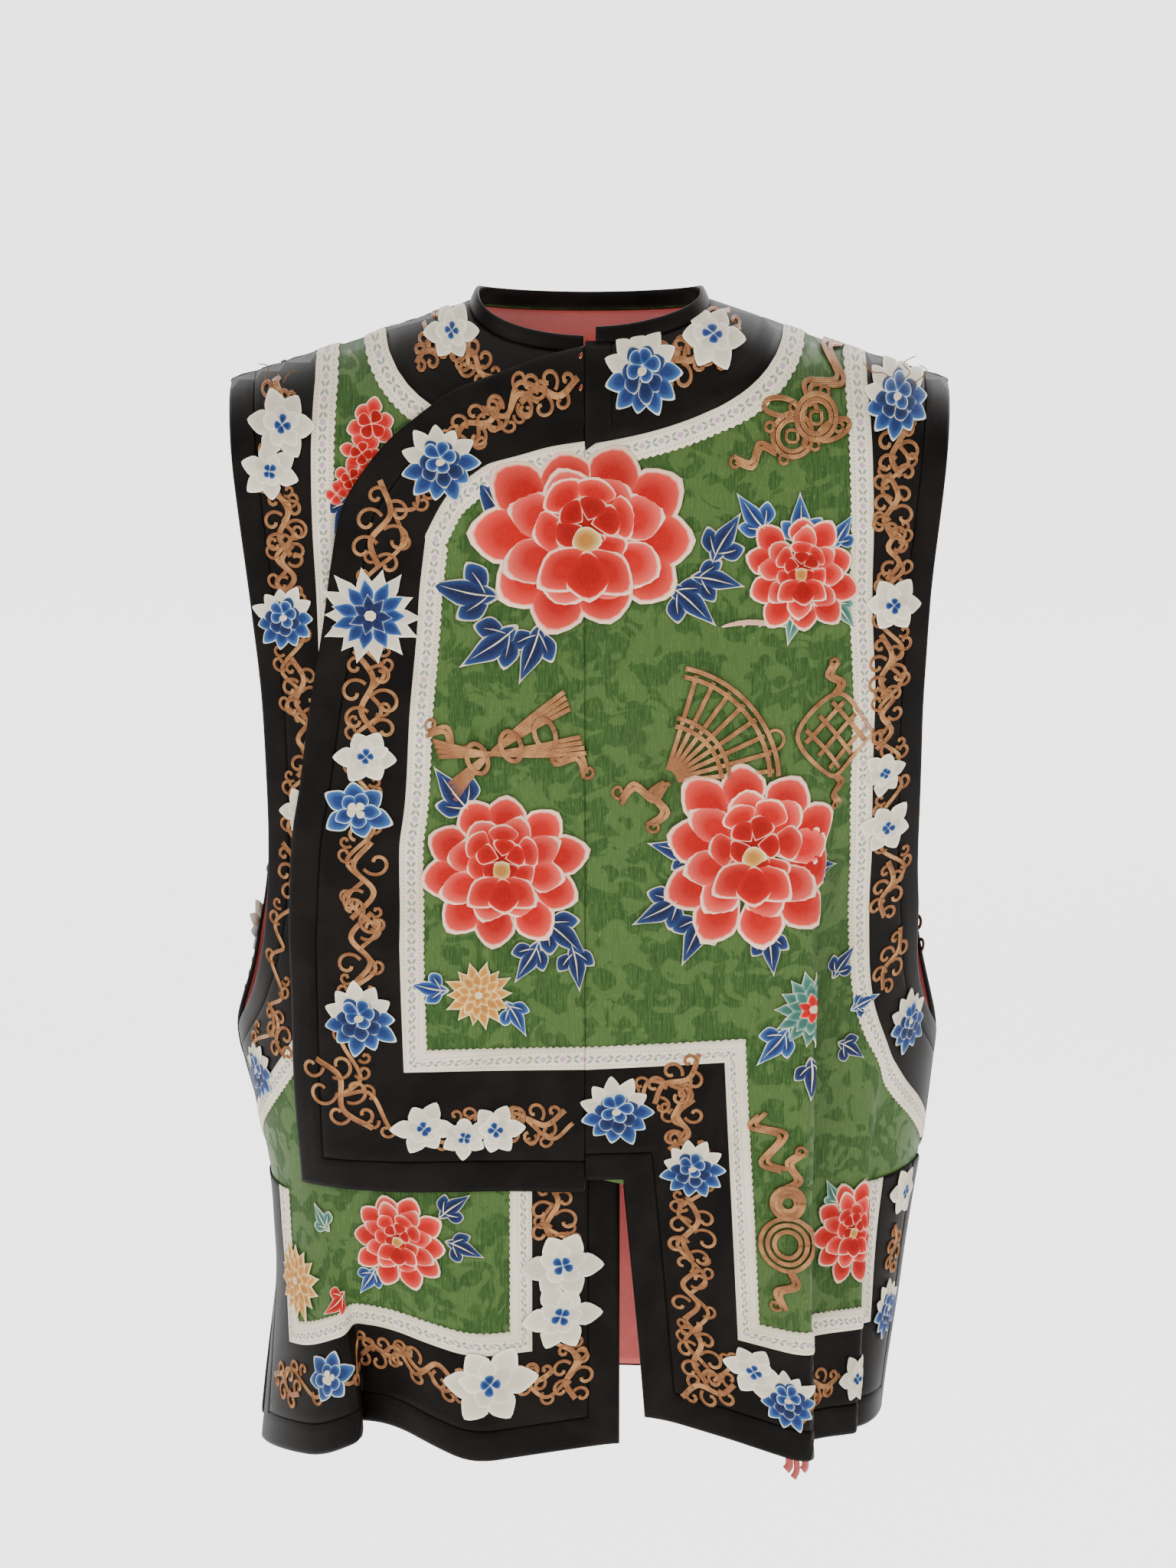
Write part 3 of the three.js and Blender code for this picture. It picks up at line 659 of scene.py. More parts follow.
def silk_floss():
    """Satin stitches: each shape's own dye, with fine threads along its grain, and painted shade in stripes
    along the threads.
    """
    paint = Paint("silk floss", Specular_IOR_Level=0.08)
    uv, along, over = paint.pattern()
    dye = paint.node("ShaderNodeAttribute", {"attribute_name": "dye"})
    thread = (over * 13.0).sine() * 0.5 + 0.5
    worn_thread = paint.noise(paint.stretched(uv, (250, 2600, 1)), 1.0, 2.0)
    # painted shade: the dye is darkened in stripes along the threads, following the thread bump
    shade = paint.mix(thread * 0.3, dye, (0.02, 0.015, 0.01))
    shade = paint.mix(worn_thread.ramp(0.55, 0.8) * 0.06, shade, (0.7, 0.6, 0.48))
    return paint.into(
        Base_Color=shade,
        Roughness=0.5 + worn_thread * 0.1,
        Normal=paint.bump(thread + worn_thread * 0.6, 0.00018, 0.7),
    )


def gold_thread():
    paint = Paint("gold thread", Metallic=0.55, Specular_IOR_Level=0.4)
    uv, along, over = paint.pattern()
    twist_and_painted_shade = ((along + over * 0.8) * 6.0).sine() * 0.5 + 0.5
    # painted shade between the laid cords: a mask of the gaps across each row of three
    painted_groove_shade = (over * 6.54 + 2.36).sine().ramp(0.55, 0.95)
    tarnish = paint.noise(uv, 60, 3.0)
    shade = paint.mix(tarnish.ramp(0.35, 0.7), (0.24, 0.09, 0.03), (0.56, 0.29, 0.11))
    # painted shade: the colour is darkened along the twist of the thread, which is also its bump
    shade = paint.mix(twist_and_painted_shade * 0.35, shade, (0.16, 0.055, 0.02))
    # painted shade: the gaps between the three laid cords are darkened almost to black
    shade = paint.mix(painted_groove_shade * 0.9, shade, (0.03, 0.01, 0.004))
    return paint.into(Base_Color=shade, Roughness=0.42, Normal=paint.bump(twist_and_painted_shade, 0.00025, 0.8))


GREEN = damask_silk()
SATIN = black_satin()
WOVEN = woven_ribbon()
RED = red_lining()
FLOSS = silk_floss()
GOLD = gold_thread()


# Cloth of the panels

def neck_line(depth):
    dip = depth - NECK_TOP
    return lambda across: dip * np.sqrt(np.maximum(0, 1 - (across / NECK_HALF) ** 2)) + shoulder_drop(across)


def arm_side(down, panel="back"):
    rows = np.array([(level, across) for across, level in (LEFT_ARM_PATH if panel == "left" else ARM_PATH)])
    return np.where(down < SIDE_TOP, np.interp(down, rows[:, 0], rows[:, 1]), side_at(panel, down))


FLAP_DENSE = np.array([(down, across) for across, down in FLAP_PATH])


def left_cut(down):
    seam = CENTRE_SEAM + 0.3
    levels = [0, FLAP_BOTTOM - 5, FLAP_BOTTOM - 1, LENGTH]
    return np.interp(down, levels, [seam, seam, NOTCH[0], NOTCH[0] + 14])


CUTS = {
    "under": (lambda down: -arm_side(down), lambda down: UNDER_REACH + 0 * down, neck_line(NECK_FRONT)),
    "left": (left_cut, lambda down: arm_side(down, "left"), neck_line(NECK_FRONT)),
    "back_left": (lambda down: 0.2 + 0 * down, arm_side, neck_line(NECK_BACK)),
    "back_right": (lambda down: -arm_side(down), lambda down: -0.2 + 0 * down, neck_line(NECK_BACK)),
    "back": (lambda down: -arm_side(down), arm_side, neck_line(NECK_BACK)),
}


def cut_cloth(cut, columns, rows, height, trimmed):
    """A flat panel of cloth between its two side edges, from its top line to the hem."""
    first, last, top = CUTS[cut]
    bm = bmesh.new()
    for i, j, vert in grid_of(bm, columns, rows):
        share, level = i / columns, 1 - j / rows
        across = first(np.array(60.0)) * (1 - share) + last(np.array(60.0)) * share
        down = (top(across) + trimmed) * (1 - level) + LENGTH * level
        across = first(down) * (1 - share) + last(down) * share
        vert.co = (float(across), -float(down), height)
    thicken(bm, CLOTH)
    return bm


def cut_flap(columns, rows, height):
    bm = bmesh.new()
    for i, j, vert in grid_of(bm, columns, rows):
        down = FLAP_TOP + (FLAP_BOTTOM - FLAP_TOP) * (1 - j / rows) ** 1.5
        edge = np.interp(down, FLAP_DENSE[:, 0], FLAP_DENSE[:, 1])
        across = edge + (CENTRE_SEAM - edge) * i / columns
        bottom = FLAP_BOTTOM - 0.6 - 3 * (1 - abs(float(across)) / FLAP_HALF)
        vert.co = (float(across), -min(down, bottom), height)
    thicken(bm, CLOTH)
    return bm


CLOTH = 0.7
LINING_DEPTH = -1.6
# Each sheet: its name, panel and cut, and the solid it stands for
SHEETS = [
    ("silk_right_front", "under", "under", "front_right_under"),
    ("silk_left_front", "left", "left", "front_left"),
    ("silk_back_left", "back", "back_left", "back_left"),
    ("silk_back_right", "back", "back_right", "back_right"),
    ("lining_right_front", "under", "under", "lining_right_under"),
    ("lining_left_front", "left", "left", "lining_left"),
    ("lining_of_back", "back", "back", "lining_back"),
    ("silk_flap", "flap", "flap", "front_flap"),
    ("lining_of_flap", "flap", "flap", None),
]
# Width and length of the cloth that each cut takes up, and its area, in metres
FLAT = {
    "under": (0.318, 0.728, 0.196),
    "left": (0.342, 0.728, 0.196),
    "back_left": (0.3, 0.728, 0.181),
    "back_right": (0.3, 0.728, 0.181),
    "back": (0.6, 0.728, 0.363),
    "flap": (0.187, 0.527, 0.088),
}


def sheet_of(name, panel, cut, node):
    silk = name.startswith("silk")
    height = 0 if silk else LINING_DEPTH
    if cut == "flap":
        flat = cut_flap(60 if silk else 40, 150 if silk else 120, height)
    else:
        flat = cut_cloth(cut, 150 if cut == "back" else 88, 150, height, 0 if silk else 1.2)
    look = (GREEN, "green silk") if silk else (RED, "red lining")
    return laid_piece(name, panel, flat, *look, [node] if node else ())


cloths = [(sheet_of(*row), FLAT[row[2]]) for row in SHEETS]

# Trimmings

TOP_CUT, SIDE_CUT = ({hand: cut_line(line, hand) for hand in (1, -1)} for line in (SHOULDER_LINE, SIDE_LINE))
LEFT_SIDE_CUT = cut_line(LEFT_SIDE_LINE, 1)
SEAM_LEFT = ((CENTRE_SEAM + 0.3, 0), (CENTRE_SEAM + 0.3, 700), (100, 300))
SEAM_FLAP = ((CENTRE_SEAM, 0), (CENTRE_SEAM, 700), (-100, 300))

under_low = [*slit_path("under", -1), (UNDER_REACH, LENGTH), (UNDER_REACH, 110)]
left_low = [(-60, FLAP_BOTTOM), NOTCH, (NOTCH[0] + 14, LENGTH), *reversed(slit_path("left", 1))]
back_low = [*slit_path("back", -1), *reversed(slit_path("back", 1))]
FLAP_LAST = len(FLAP_PATH) - 1
FLAP_EASED = eased(FLAP_BAND, 14)


def flap_width(k, across, down):
    """The flap's band widens at its lower corner, where it turns along the bottom."""
    return float(read(FLAP_EASED, down, 1)) if k <= FLAP_LAST else 60.0


def flap_reach(more):
    return lambda k, across, down: flap_width(k, across, down) + more


def by_stretch(values):
    """Widths for each stretch of a path, with the first one for what is drawn on before it."""
    return lambda more: lambda k, across, down: values[min(k, len(values) - 1)][0 if down < 640 else 1] + more


LEFT_LOW = [(60, 60), (60, 60), (51, 45), (50, 50), (40, 40)]
UNDER_LOW = [(40, 40), (50, 50), (36, 36)]
BACK_LOW = [(40, 40), (50, 50), (40, 40)]

ARM_WIDTH = tabled(ARM_BAND, 1)
LEFT_NECK_WIDTH = tabled(LEFT_NECK_BAND, 0)
# Each border: its path and hand, the widths of its binding and its band, its cuts and its open ends
BORDERS = {
    "right_under": [
        (neck_path(NECK_FRONT, -QUARTER, 0.2), 1, 0, tabled(UNDER_NECK_BAND, 0), [TOP_CUT[-1]], (1, 1)),
        (mirrored(ARM_PATH), -1, ARM_BINDING, ARM_WIDTH, [TOP_CUT[-1], SIDE_CUT[-1]], (1, 1)),
        (under_low, -1, BINDING, by_stretch(UNDER_LOW), [], (0, 0)),
    ],
    "flap": [
        (FLAP_PATH + [(CENTRE_SEAM - 1, FLAP_BOTTOM - 3)], -1, BINDING, flap_reach, [SEAM_FLAP], (1, 1)),
    ],
    "left": [
        (neck_path(NECK_FRONT, -0.04, QUARTER), 1, 0, LEFT_NECK_WIDTH, [TOP_CUT[1], SEAM_LEFT], (1, 1)),
        (LEFT_ARM_PATH, 1, ARM_BINDING, tabled(LEFT_ARM_BAND, 1), [TOP_CUT[1], LEFT_SIDE_CUT], (1, 1)),
        (left_low, -1, BINDING, by_stretch(LEFT_LOW), [SEAM_LEFT], (1, 0)),
    ],
    "back": [
        (neck_path(NECK_BACK, -QUARTER, QUARTER), 1, 0, lambda m: 50 + m, [TOP_CUT[1], TOP_CUT[-1]], (1, 1)),
        (ARM_PATH, 1, ARM_BINDING, ARM_WIDTH, [TOP_CUT[1], SIDE_CUT[1]], (1, 1)),
        (mirrored(ARM_PATH), -1, ARM_BINDING, ARM_WIDTH, [TOP_CUT[-1], SIDE_CUT[-1]], (1, 1)),
        (back_low, -1, BINDING, by_stretch(BACK_LOW), [], (0, 0)),
    ],
}
# Height of each trimming at places across its width
BINDING_PROFILE = [
    (-0.06, -1.6), (-0.04, 0.0), (0.02, 1.2), (0.12, 1.6), (0.4, 1.5), (0.7, 1.5), (0.93, 1.4), (1.0, 0.7),
]
BAND_PROFILE = [(0.0, 0.7)] + [(0.02 + 0.096 * k, 1.25) for k in range(11)] + [(1.0, 1.0)]
NECK_BAND_PROFILE = [(0.0, 1.2)] + [(0.06 * k, 1.25) for k in range(1, 12)]
NECK_BAND_PROFILE += [(0.7, 1.0), (0.72, 1.35), (0.86, 1.3), (1.0, 1.1)]
RIBBON_PROFILE = [(-0.04, 1.3), (0.1, 1.75), (0.5, 1.7), (0.85, 1.65), (1.0, 0.75)]

for word, borders in BORDERS.items():
    panel = {"right_under": "under"}.get(word, word)
    bindings, bands, ribbons = bmesh.new(), bmesh.new(), bmesh.new()
    for path, hand, binding, band, cuts, ends in borders:
        if binding:
            strip(bindings, path, hand, 0, binding, BINDING_PROFILE, cuts, open_ends=ends)
        inner, profile = (binding + 0.2, BAND_PROFILE) if binding else (-0.5, NECK_BAND_PROFILE)
        strip(bands, path, hand, inner, band(binding), profile, cuts, open_ends=ends)
        edge = (path, hand, band(binding), band(binding + RIBBON), RIBBON_PROFILE, cuts)
        strip(ribbons, *edge, step=1.5, scallop=1.5, open_ends=ends)
    if word == "left":
        placket = [(CENTRE_SEAM, NECK_FRONT), (CENTRE_SEAM, PLACKET_END)]
        flat_strip = [(0, 1.5), (0.06, 2.1), (0.25, 2.1), (0.5, 2.1), (0.75, 2.1), (0.94, 2.1), (1, 1.5)]
        mitre = (placket[1], (CENTRE_SEAM + BINDING + 4, PLACKET_END - 17), placket[0])
        strip(bindings, placket, -1, 0, BINDING - 2, flat_strip, [mitre], open_ends=(0, 0))
    laid_piece("binding_" + word, panel, bindings, SATIN, "black satin", nodes_named(word + "_binding"))
    laid_piece("band_" + word, panel, bands, SATIN, "black satin", nodes_named(word + "_band"))
    laid_piece("ribbon_" + word, panel, ribbons, WOVEN, "woven ribbon", nodes_named(word + "_ribbon"))


# Embroidery, modelled flat like the cloth

def disc(rings, around):
    """A closed round pad in unit coordinates: rings on top, a rim and a flat underside one unit below."""
    bm = bmesh.new()
    for i, j, vert in grid_of(bm, around, len(rings) - 1):
        angle = 2 * math.pi * i / around
        vert.co = (rings[j] * math.cos(angle), rings[j] * math.sin(angle), 0)
    bmesh.ops.remove_doubles(bm, verts=bm.verts, dist=1e-6)
    made = bmesh.ops.extrude_edge_only(bm, edges=[edge for edge in bm.edges if edge.is_boundary])
    lower = [item for item in made["geom"] if isinstance(item, bmesh.types.BMVert)]
    bmesh.ops.translate(bm, verts=lower, vec=(0, 0, -1))
    close_ends(bm)
    return mesh_of(bm, "disc")


PAD = disc([0, 0.4, 0.66, 0.84, 0.92, 1.0], 18)
PAD_X, PAD_Y, PAD_LOW = points_of(PAD).T
PAD_RIM = np.hypot(PAD_X, PAD_Y)
ALONG = (PAD_X + 1) / 2
OVER = PAD_Y / np.sqrt(np.maximum(1e-4, 1 - PAD_X ** 2))
OVER[np.abs(PAD_X) > 0.999] = 0

PETAL = np.sin(np.pi * ALONG ** 1.7) ** 0.55
LEAFLET = np.sin(np.pi * ALONG ** 0.85) ** 0.9
ROUND = np.sqrt(np.maximum(0, 1 - PAD_X ** 2))
BOWL = np.sin(np.pi * ALONG ** 1.25) ** 0.6
WAVE = 0.055 * PAD_RIM ** 3 * np.cos(3.2 * np.arctan2(PAD_Y, PAD_X))

# Dyes of the floss, as base, tip and rim
DYES = {
    "red": ((0.36, 0.0, 0.0), (0.62, 0.055, 0.04), (0.84, 0.55, 0.4)),
    "deep": ((0.27, 0.0, 0.0), (0.42, 0.006, 0.005), (0.8, 0.45, 0.32)),
    "pink": ((0.42, 0.0, 0.001), (0.68, 0.1, 0.075), (0.84, 0.58, 0.42)),
    "blue": ((0.006, 0.02, 0.1), (0.04, 0.12, 0.3), (0.55, 0.6, 0.56)),
    "navy": ((0.004, 0.009, 0.045), (0.015, 0.045, 0.15), (0.52, 0.48, 0.34)),
    "teal": ((0.025, 0.1, 0.08), (0.13, 0.28, 0.22), (0.6, 0.57, 0.4)),
    "white": ((0.56, 0.5, 0.38), (0.68, 0.62, 0.49), (0.8, 0.75, 0.6)),
    "yellow": ((0.4, 0.15, 0.025), (0.66, 0.45, 0.13), (0.78, 0.66, 0.42)),
    "stem": ((0.6, 0.33, 0.22), (0.64, 0.38, 0.26), (0.7, 0.48, 0.35)),
    "cream": ((0.62, 0.52, 0.34), (0.7, 0.6, 0.42), (0.72, 0.65, 0.5)),
}
chance = random.Random(7)


class Stitches:
    """The padded shapes of one piece of embroidery."""

    def __init__(self):
        self.points, self.dyes, self.grain = [], [], []

    def pad(self, at, turn, length, width, outline, dye, level, puff=0.5, bend=0.0):
        x = ALONG * length * (1 + WAVE * (length > 12))
        y = OVER * outline * width / 2 + bend * x * (1 - ALONG)
        height = level + puff * np.sqrt(1 - np.minimum(PAD_RIM, 0.98) ** 2)
        height = np.where(PAD_LOW < -0.5, level - 0.5, height)
        c, s = math.cos(turn), math.sin(turn)
        self.points.append(np.stack([at[0] + c * x - s * y, -at[1] + s * x + c * y, height], 1))
        base, tip, rim = (np.array(colour) for colour in DYES[dye])
        tone = chance.uniform(0.85, 1.12)
        paler = np.clip(np.clip((PAD_RIM - 0.5) / 0.34, 0, 1) * 0.75 + ALONG ** 3 * 0.25, 0, 1)
        shade = base + (tip - base) * paler[:, None]
        shade = np.where((PAD_RIM > 0.9)[:, None], rim, shade) * tone
        self.dyes.append(np.concatenate([np.clip(shade, 0, 1), np.ones((len(shade), 1))], 1))
        self.grain.append(np.stack([x, y], 1) * 0.001)

    def made(self, name, panel):
        bm = bmesh.new()
        for _ in self.points:
            bm.from_mesh(PAD)
        mesh = mesh_of(bm, name)
        map_cloth(mesh, np.concatenate(self.grain))
        dye = mesh.color_attributes.new("dye", "FLOAT_COLOR", "POINT")
        dye.data.foreach_set("color", np.concatenate(self.dyes).ravel())
        lay(mesh, panel, np.concatenate(self.points))
        finished(name, mesh, FLOSS, None)


def ring_of(
    stitches, at, count, inner, outer, dye, level, squash=1.0, turn=0.0, width=1.25, outline=PETAL, puff=0.6
):
    """A ring of petals round a centre, flattened by a share."""
    for k in range(count):
        angle = turn + 2 * math.pi * (k + chance.uniform(-0.12, 0.12)) / count
        flat = math.hypot(math.cos(angle), math.sin(angle) * squash)
        start = (at[0] + inner * math.cos(angle), at[1] - inner * math.sin(angle) * squash)
        length = (outer - inner) * flat * chance.uniform(0.86, 1.12)
        wide = width * 2 * math.pi * (inner + (outer - inner) * 0.65) / count
        stitches.pad(start, angle, length, wide, outline, dye, level + 0.05 * (k % 3), puff)


def peony(stitches, at, size, turn, dye):
    """Two rounds of long petals, small ones above the seeds and a cup of broad ones below."""
    colour, _, squash = dye.partition(" ")
    squash = 1 / float(squash or 1)
    heart = (at[0], at[1] - size * 0.12)

    def petals(place, count, inner, outer, floss, level, lean, width, puff):
        inner, outer = inner * size, outer * size
        ring_of(stitches, place, count, inner, outer, floss, level, squash, turn + lean, width, puff=puff)

    petals(at, 10, 0.3, 1, colour, 1.5, 0, 1.1, 0.9)
    petals(at, 8, 0.16, 0.76, "pink", 1.95, 0.35, 1.05, 0.9)
    stitches.pad((heart[0] - size * 0.2, heart[1]), 0, size * 0.4, size * 0.4, ROUND, "deep", 2.3, 0.3)
    petals(heart, 6, 0.14, 0.48, "red", 2.45, 0.2, 1.1, 0.8)
    petals(heart, 5, 0.04, 0.3, "deep", 2.85, 0, 1.1, 0.7)
    seeds = (at[0] - size * 0.13, at[1] + size * 0.02)
    stitches.pad(seeds, 0, size * 0.26, size * 0.24, ROUND, "yellow", 3.25, 0.5)
    for lean, long, wide, level, floss in (
        (-0.7, 0.56, 0.4, 3.0, "red"), (3.75, 0.56, 0.4, 3.05, "red"), (-1.5, 0.44, 0.46, 3.3, "deep"),
    ):
        start = (at[0] - size * 0.06 * math.cos(lean), at[1] + size * 0.1)
        stitches.pad(start, lean + turn * 0.2, size * long, size * wide, BOWL, floss, level, 0.8)


def rose(stitches, at, size, turn, dye):
    """A lotus of pale upper petals and dark lower ones."""
    size = size * 1.3
    for k in range(11):
        angle = turn + 2 * math.pi * k / 11
        low = math.sin(angle) < 0.2
        start = (at[0] + size * 0.25 * math.cos(angle), at[1] - size * 0.25 * math.sin(angle))
        pale = "blue" if low else "white"
        stitches.pad(start, angle, size * chance.uniform(0.72, 0.95), size * 0.52, BOWL, pale, 2.4, 0.7, 0.1)
    ring_of(stitches, at, 7, size * 0.1, size * 0.72, "navy", 2.75, 1, turn + 0.4, 1.1)
    ring_of(stitches, (at[0], at[1] - size * 0.15), 5, 0, size * 0.5, "blue", 3.15, 1, turn, 1.0)
    stitches.pad((at[0] - size * 0.15, at[1]), 0, size * 0.3, size * 0.22, ROUND, "cream", 3.5, 0.5)


def bloom(stitches, at, size, turn, dye):
    if dye == "pink":
        ring_of(stitches, at, 6, size * 0.1, size * 1.15, "pink", 1.4, 1, turn + 0.3, 1.0)
        ring_of(stitches, at, 4, 0, size * 0.7, "deep", 1.8, 1, turn + 1.0, 0.9)
        return
    size = size * 1.3
    ring_of(stitches, at, 6, size * 0.08, size * 1.05, dye, 2.4, 0.9, turn, 0.95, BOWL)
    ring_of(stitches, at, 5, size * 0.05, size * 0.68, dye, 2.8, 0.9, turn + 0.5, 0.9, BOWL)
    ring_of(stitches, at, 4, 0, size * 0.3, "blue" if dye == "white" else "cream", 3.2, 1, turn, 0.9)


def mum(stitches, at, size, turn, dye):
    """A chrysanthemum of three rings of pointed petals."""
    outer, heart = {"blue": ("white", "navy"), "teal": ("teal", "red")}.get(dye, (dye, dye))
    base = 2.4 if dye == "blue" else 1.4
    size = size * 1.5 if dye == "blue" else size
    for count, inner, reach, floss, rise in (
        (14, 0.3, 1, outer, 0), (11, 0.2, 0.74, dye, 0.35), (7, 0, 0.42, heart, 0.7),
    ):
        ring_of(stitches, at, count, size * inner, size * reach, floss, base + rise, 1, turn, 1.0, LEAFLET)
    stitches.pad((at[0] - size * 0.12, at[1]), 0, size * 0.24, size * 0.24, ROUND, "cream", base + 1.1, 0.4)


def leaf(stitches, at, size, turn, dye):
    """A leaf of three rounded lobes with pale veins."""
    start = polar(at, turn, (-0.8, 0), size=size)[0]
    for place, lean, share in ((0.25, 0.8, 0.85), (0.35, -0.85, 0.75)):
        along = turn + lean
        root = polar(start, turn, (place, 0), size=size)[0]
        stitches.pad(root, along, size * share, size * 0.56, BOWL, dye, 1.2, 0.5, 0.2 * lean)
        stitches.pad(root, along, size * share * 0.7, 0.8, LEAFLET, "cream", 1.72, 0.25, 0.2 * lean)
    stitches.pad(start, turn, size * 1.6, size * 0.62, LEAFLET, dye, 1.35, 0.5, 0.16)
    stitches.pad(start, turn, size * 1.3, 1.0, LEAFLET, "cream", 1.85, 0.25, 0.16)


def stem(stitches, at, size, turn, dye):
    """A branch with two thorns."""
    stitches.pad(at, turn, size, 3.4, ROUND, dye, 1.25, 0.5, 0.3)
    for place in (0.35, 0.6):
        stitches.pad((at[0] + size * place, at[1]), turn + 1.2, 5, 2.2, LEAFLET, dye, 1.3, 0.4)


def bud(stitches, at, size, turn, dye):
    ring_of(stitches, at, 4, 0, size, dye, 1.4, 1, turn, 0.9)


FLOWERS = {made.__name__: made for made in (peony, rose, bloom, mum, leaf, bud, stem)}

# Gold cords, laid three together

CORD = [(0, 0.2), (0.2, 1.0), (0.36, 0.35), (0.52, 1.0), (0.68, 0.35), (0.84, 1.0), (1, 0.2)]


def cord(gold, points, level=1.3, width=3.0, step=2.2):
    """A row of couched cords through points (across, down)."""
    profile = [(share, level + height * 0.75) for share, height in CORD]
    half, path = width / 2, spline(points, step)
    strip(gold, path, 1, -half, half, profile, step=step, open_ends=(0, 0), thick=0.6)


def polar(at, turn, *places, size=1.0):
    """Points given along and beside a turned axis, in units of a size."""
    c, s = size * math.cos(turn), size * math.sin(turn)
    return [(at[0] + c * a - s * b, at[1] - s * a - c * b) for a, b in places]


def curl(gold, at, turn, size, hand, level, width=2.0):
    """A cord that leaves a point and winds in on itself."""
    middle = polar(at, turn - hand * QUARTER, (-0.5, 0), size=size)[0]
    points = []
    for k in range(11):
        t = k / 10
        angle = turn + hand * (-QUARTER + 1.8 * math.pi * t * (0.55 + 0.45 * t))
        points += polar(middle, angle, (0.5 * (1 - 0.72 * t), 0), size=size)
    cord(gold, points, level, width, 1.7)


def gleaf(gold, at, size, turn, dye):
    """A scrolling leaf: a bowed stem with curls to both sides."""
    size = size * 1.25
    cord(gold, polar(at, turn, (-1, -0.1), (-0.4, 0.2), (0.3, -0.14), (1, 0.24), size=size), 1.45, 3.6)
    for place, hand, share in (
        (-0.75, -1, 0.6), (-0.45, 1, 0.72), (-0.1, -1, 0.8), (0.2, 1, 0.72), (0.5, -1, 0.62), (0.75, 1, 0.5),
    ):
        start = polar(at, turn, (place, 0.04 * hand), size=size)[0]
        curl(gold, start, turn + hand * 0.5, size * share, hand, 1.55, 2.2)


def scroll(gold, at, size, turn, dye):
    """Curls back to back on a wavy stem."""
    size = size * 1.25
    cord(gold, polar(at, turn, (-1, 0.3), (-0.3, -0.25), (0.35, 0.25), (1, -0.2), size=size), 1.45, 3.4)
    for place, lean in ((-0.3, 0.8), (0.3, 3.6), (-0.8, 2.2), (0.8, 5.2)):
        curl(gold, polar(at, turn, (place, 0), size=size)[0], turn + lean, size * 0.75, 1, 1.55, 2.2)


def vine(gold, places):
    """A wavy stem from motif to motif along a border, with curls."""
    for k, (a, b) in enumerate(zip(places, places[1:])):
        length = math.dist(a, b)
        turn = math.atan2(a[1] - b[1], b[0] - a[0])
        hand = 1 if k % 2 else -1
        bow = min(9.0, 0.2 * length) * hand
        cord(gold, polar(a, turn, (0, 0), (0.3 * length, bow), (0.7 * length, -bow), (length, 0)), 1.4, 2.6)
        for place, side, size in ((0.32, hand, 12), (0.5, -hand, 9), (0.7, -hand, 12)):
            start = polar(a, turn, (place * length, side * bow * 0.6 * hand))[0]
            curl(gold, start, turn + side * 0.7, size, side, 1.5)


def loop(at, across, down, turn=0.0, start=0.0, end=2 * math.pi, steps=16):
    angles = [start + (end - start) * k / steps for k in range(steps + 1)]
    return polar(at, turn, *((across * math.cos(a), down * math.sin(a)) for a in angles))


def side_by_side(gold, at, size, turn, way, apart):
    """Two rows of cords along a way that is given in units of a size."""
    for shift in (0, apart):
        cord(gold, polar(at, turn, *((a * size, b * size + shift) for a, b in way)))


def streamer(gold, at, size, turn, hand):
    """A loose ribbon tail that ends in a curl."""
    way = ((0, 0), (0.35, hand * 0.3), (0.75, -hand * 0.1), (1.15, hand * 0.22))
    side_by_side(gold, at, size, turn, way, 3.4)
    curl(gold, polar(at, turn, way[-1], size=size)[0], turn, size * 0.4, -hand, 1.3)


def coins(gold, at, size, turn, dye):
    """Two pierced coins with small loops round them, tied with a ribbon."""
    for shift in (-0.3, 0.3):
        middle = polar(at, turn, (shift * size, 0))[0]
        for share in (0.42, 0.31):
            cord(gold, loop(middle, size * share, size * share), 1.3 + (shift > 0) * 0.5)
        cord(gold, loop(middle, size * 0.15, size * 0.15, 0.78, 0, 2 * math.pi, 4), 1.3, 2.0)
        for k in range(4):
            around = polar(middle, turn + 0.6 + k * 1.57, (size * 0.5, 0))[0]
            cord(gold, loop(around, size * 0.1, size * 0.1, 0, 0, 2 * math.pi, 8), 1.5, 2.0)
    for lean, reach in ((1.9, 0.62), (-0.7, 0.62)):
        tied = polar(at, turn + lean, (size * reach, 0))[0]
        cord(gold, loop(tied, size * 0.36, size * 0.16, turn + lean + 0.5), 1.4)
    streamer(gold, polar(at, turn, (-0.75 * size, 0))[0], size * 0.75, turn + 2.9, -1)


def horn(gold, at, size, turn, dye):
    """Two crossed curved horns with a ribbon."""
    for hand in (-1, 1):
        for share in (0, 0.09, 0.18, 0.27):
            bow = hand * (0.5 - share)
            points = ((-1, bow * 0.9), (-0.4, bow * 0.1), (0.3, -bow * 0.5), (0.95, -bow * 0.9))
            cord(gold, polar(at, turn, *points, size=size), 1.3 + (hand > 0) * 0.4)
    for place in (-0.5, 0, 0.5):
        cord(gold, loop(polar(at, turn, (place * size, 0))[0], size * 0.14, size * 0.22, turn), 1.9)
    streamer(gold, polar(at, turn, (0.5 * size, -0.2 * size))[0], size * 0.55, turn - 0.9, -1)
    streamer(gold, polar(at, turn, (-0.5 * size, 0.2 * size))[0], size * 0.55, turn + 2.3, 1)


def fan(gold, at, size, turn, dye):
    """An open fan of ribs with a pierced rim and a ribbon."""
    pivot = polar(at, turn, (-0.75 * size, -0.35 * size))[0]
    for k in range(8):
        angle = turn - 0.35 + 0.17 * k
        cord(gold, polar(pivot, angle, (0.15, 0), (0.8, 0), (1.35, 0), size=size))
    for share in (0.7, 0.8, 1.3, 1.4):
        cord(gold, loop(pivot, share * size, share * size, turn, -0.4, 0.95), 1.7)
    streamer(gold, pivot, size * 0.5, turn + 2.9, 1)
    streamer(gold, pivot, size * 0.5, turn - 2.2, -1)
    curl(gold, polar(at, turn, (0.5 * size, -0.5 * size))[0], turn - 1.2, size * 0.4, 1, 1.3)


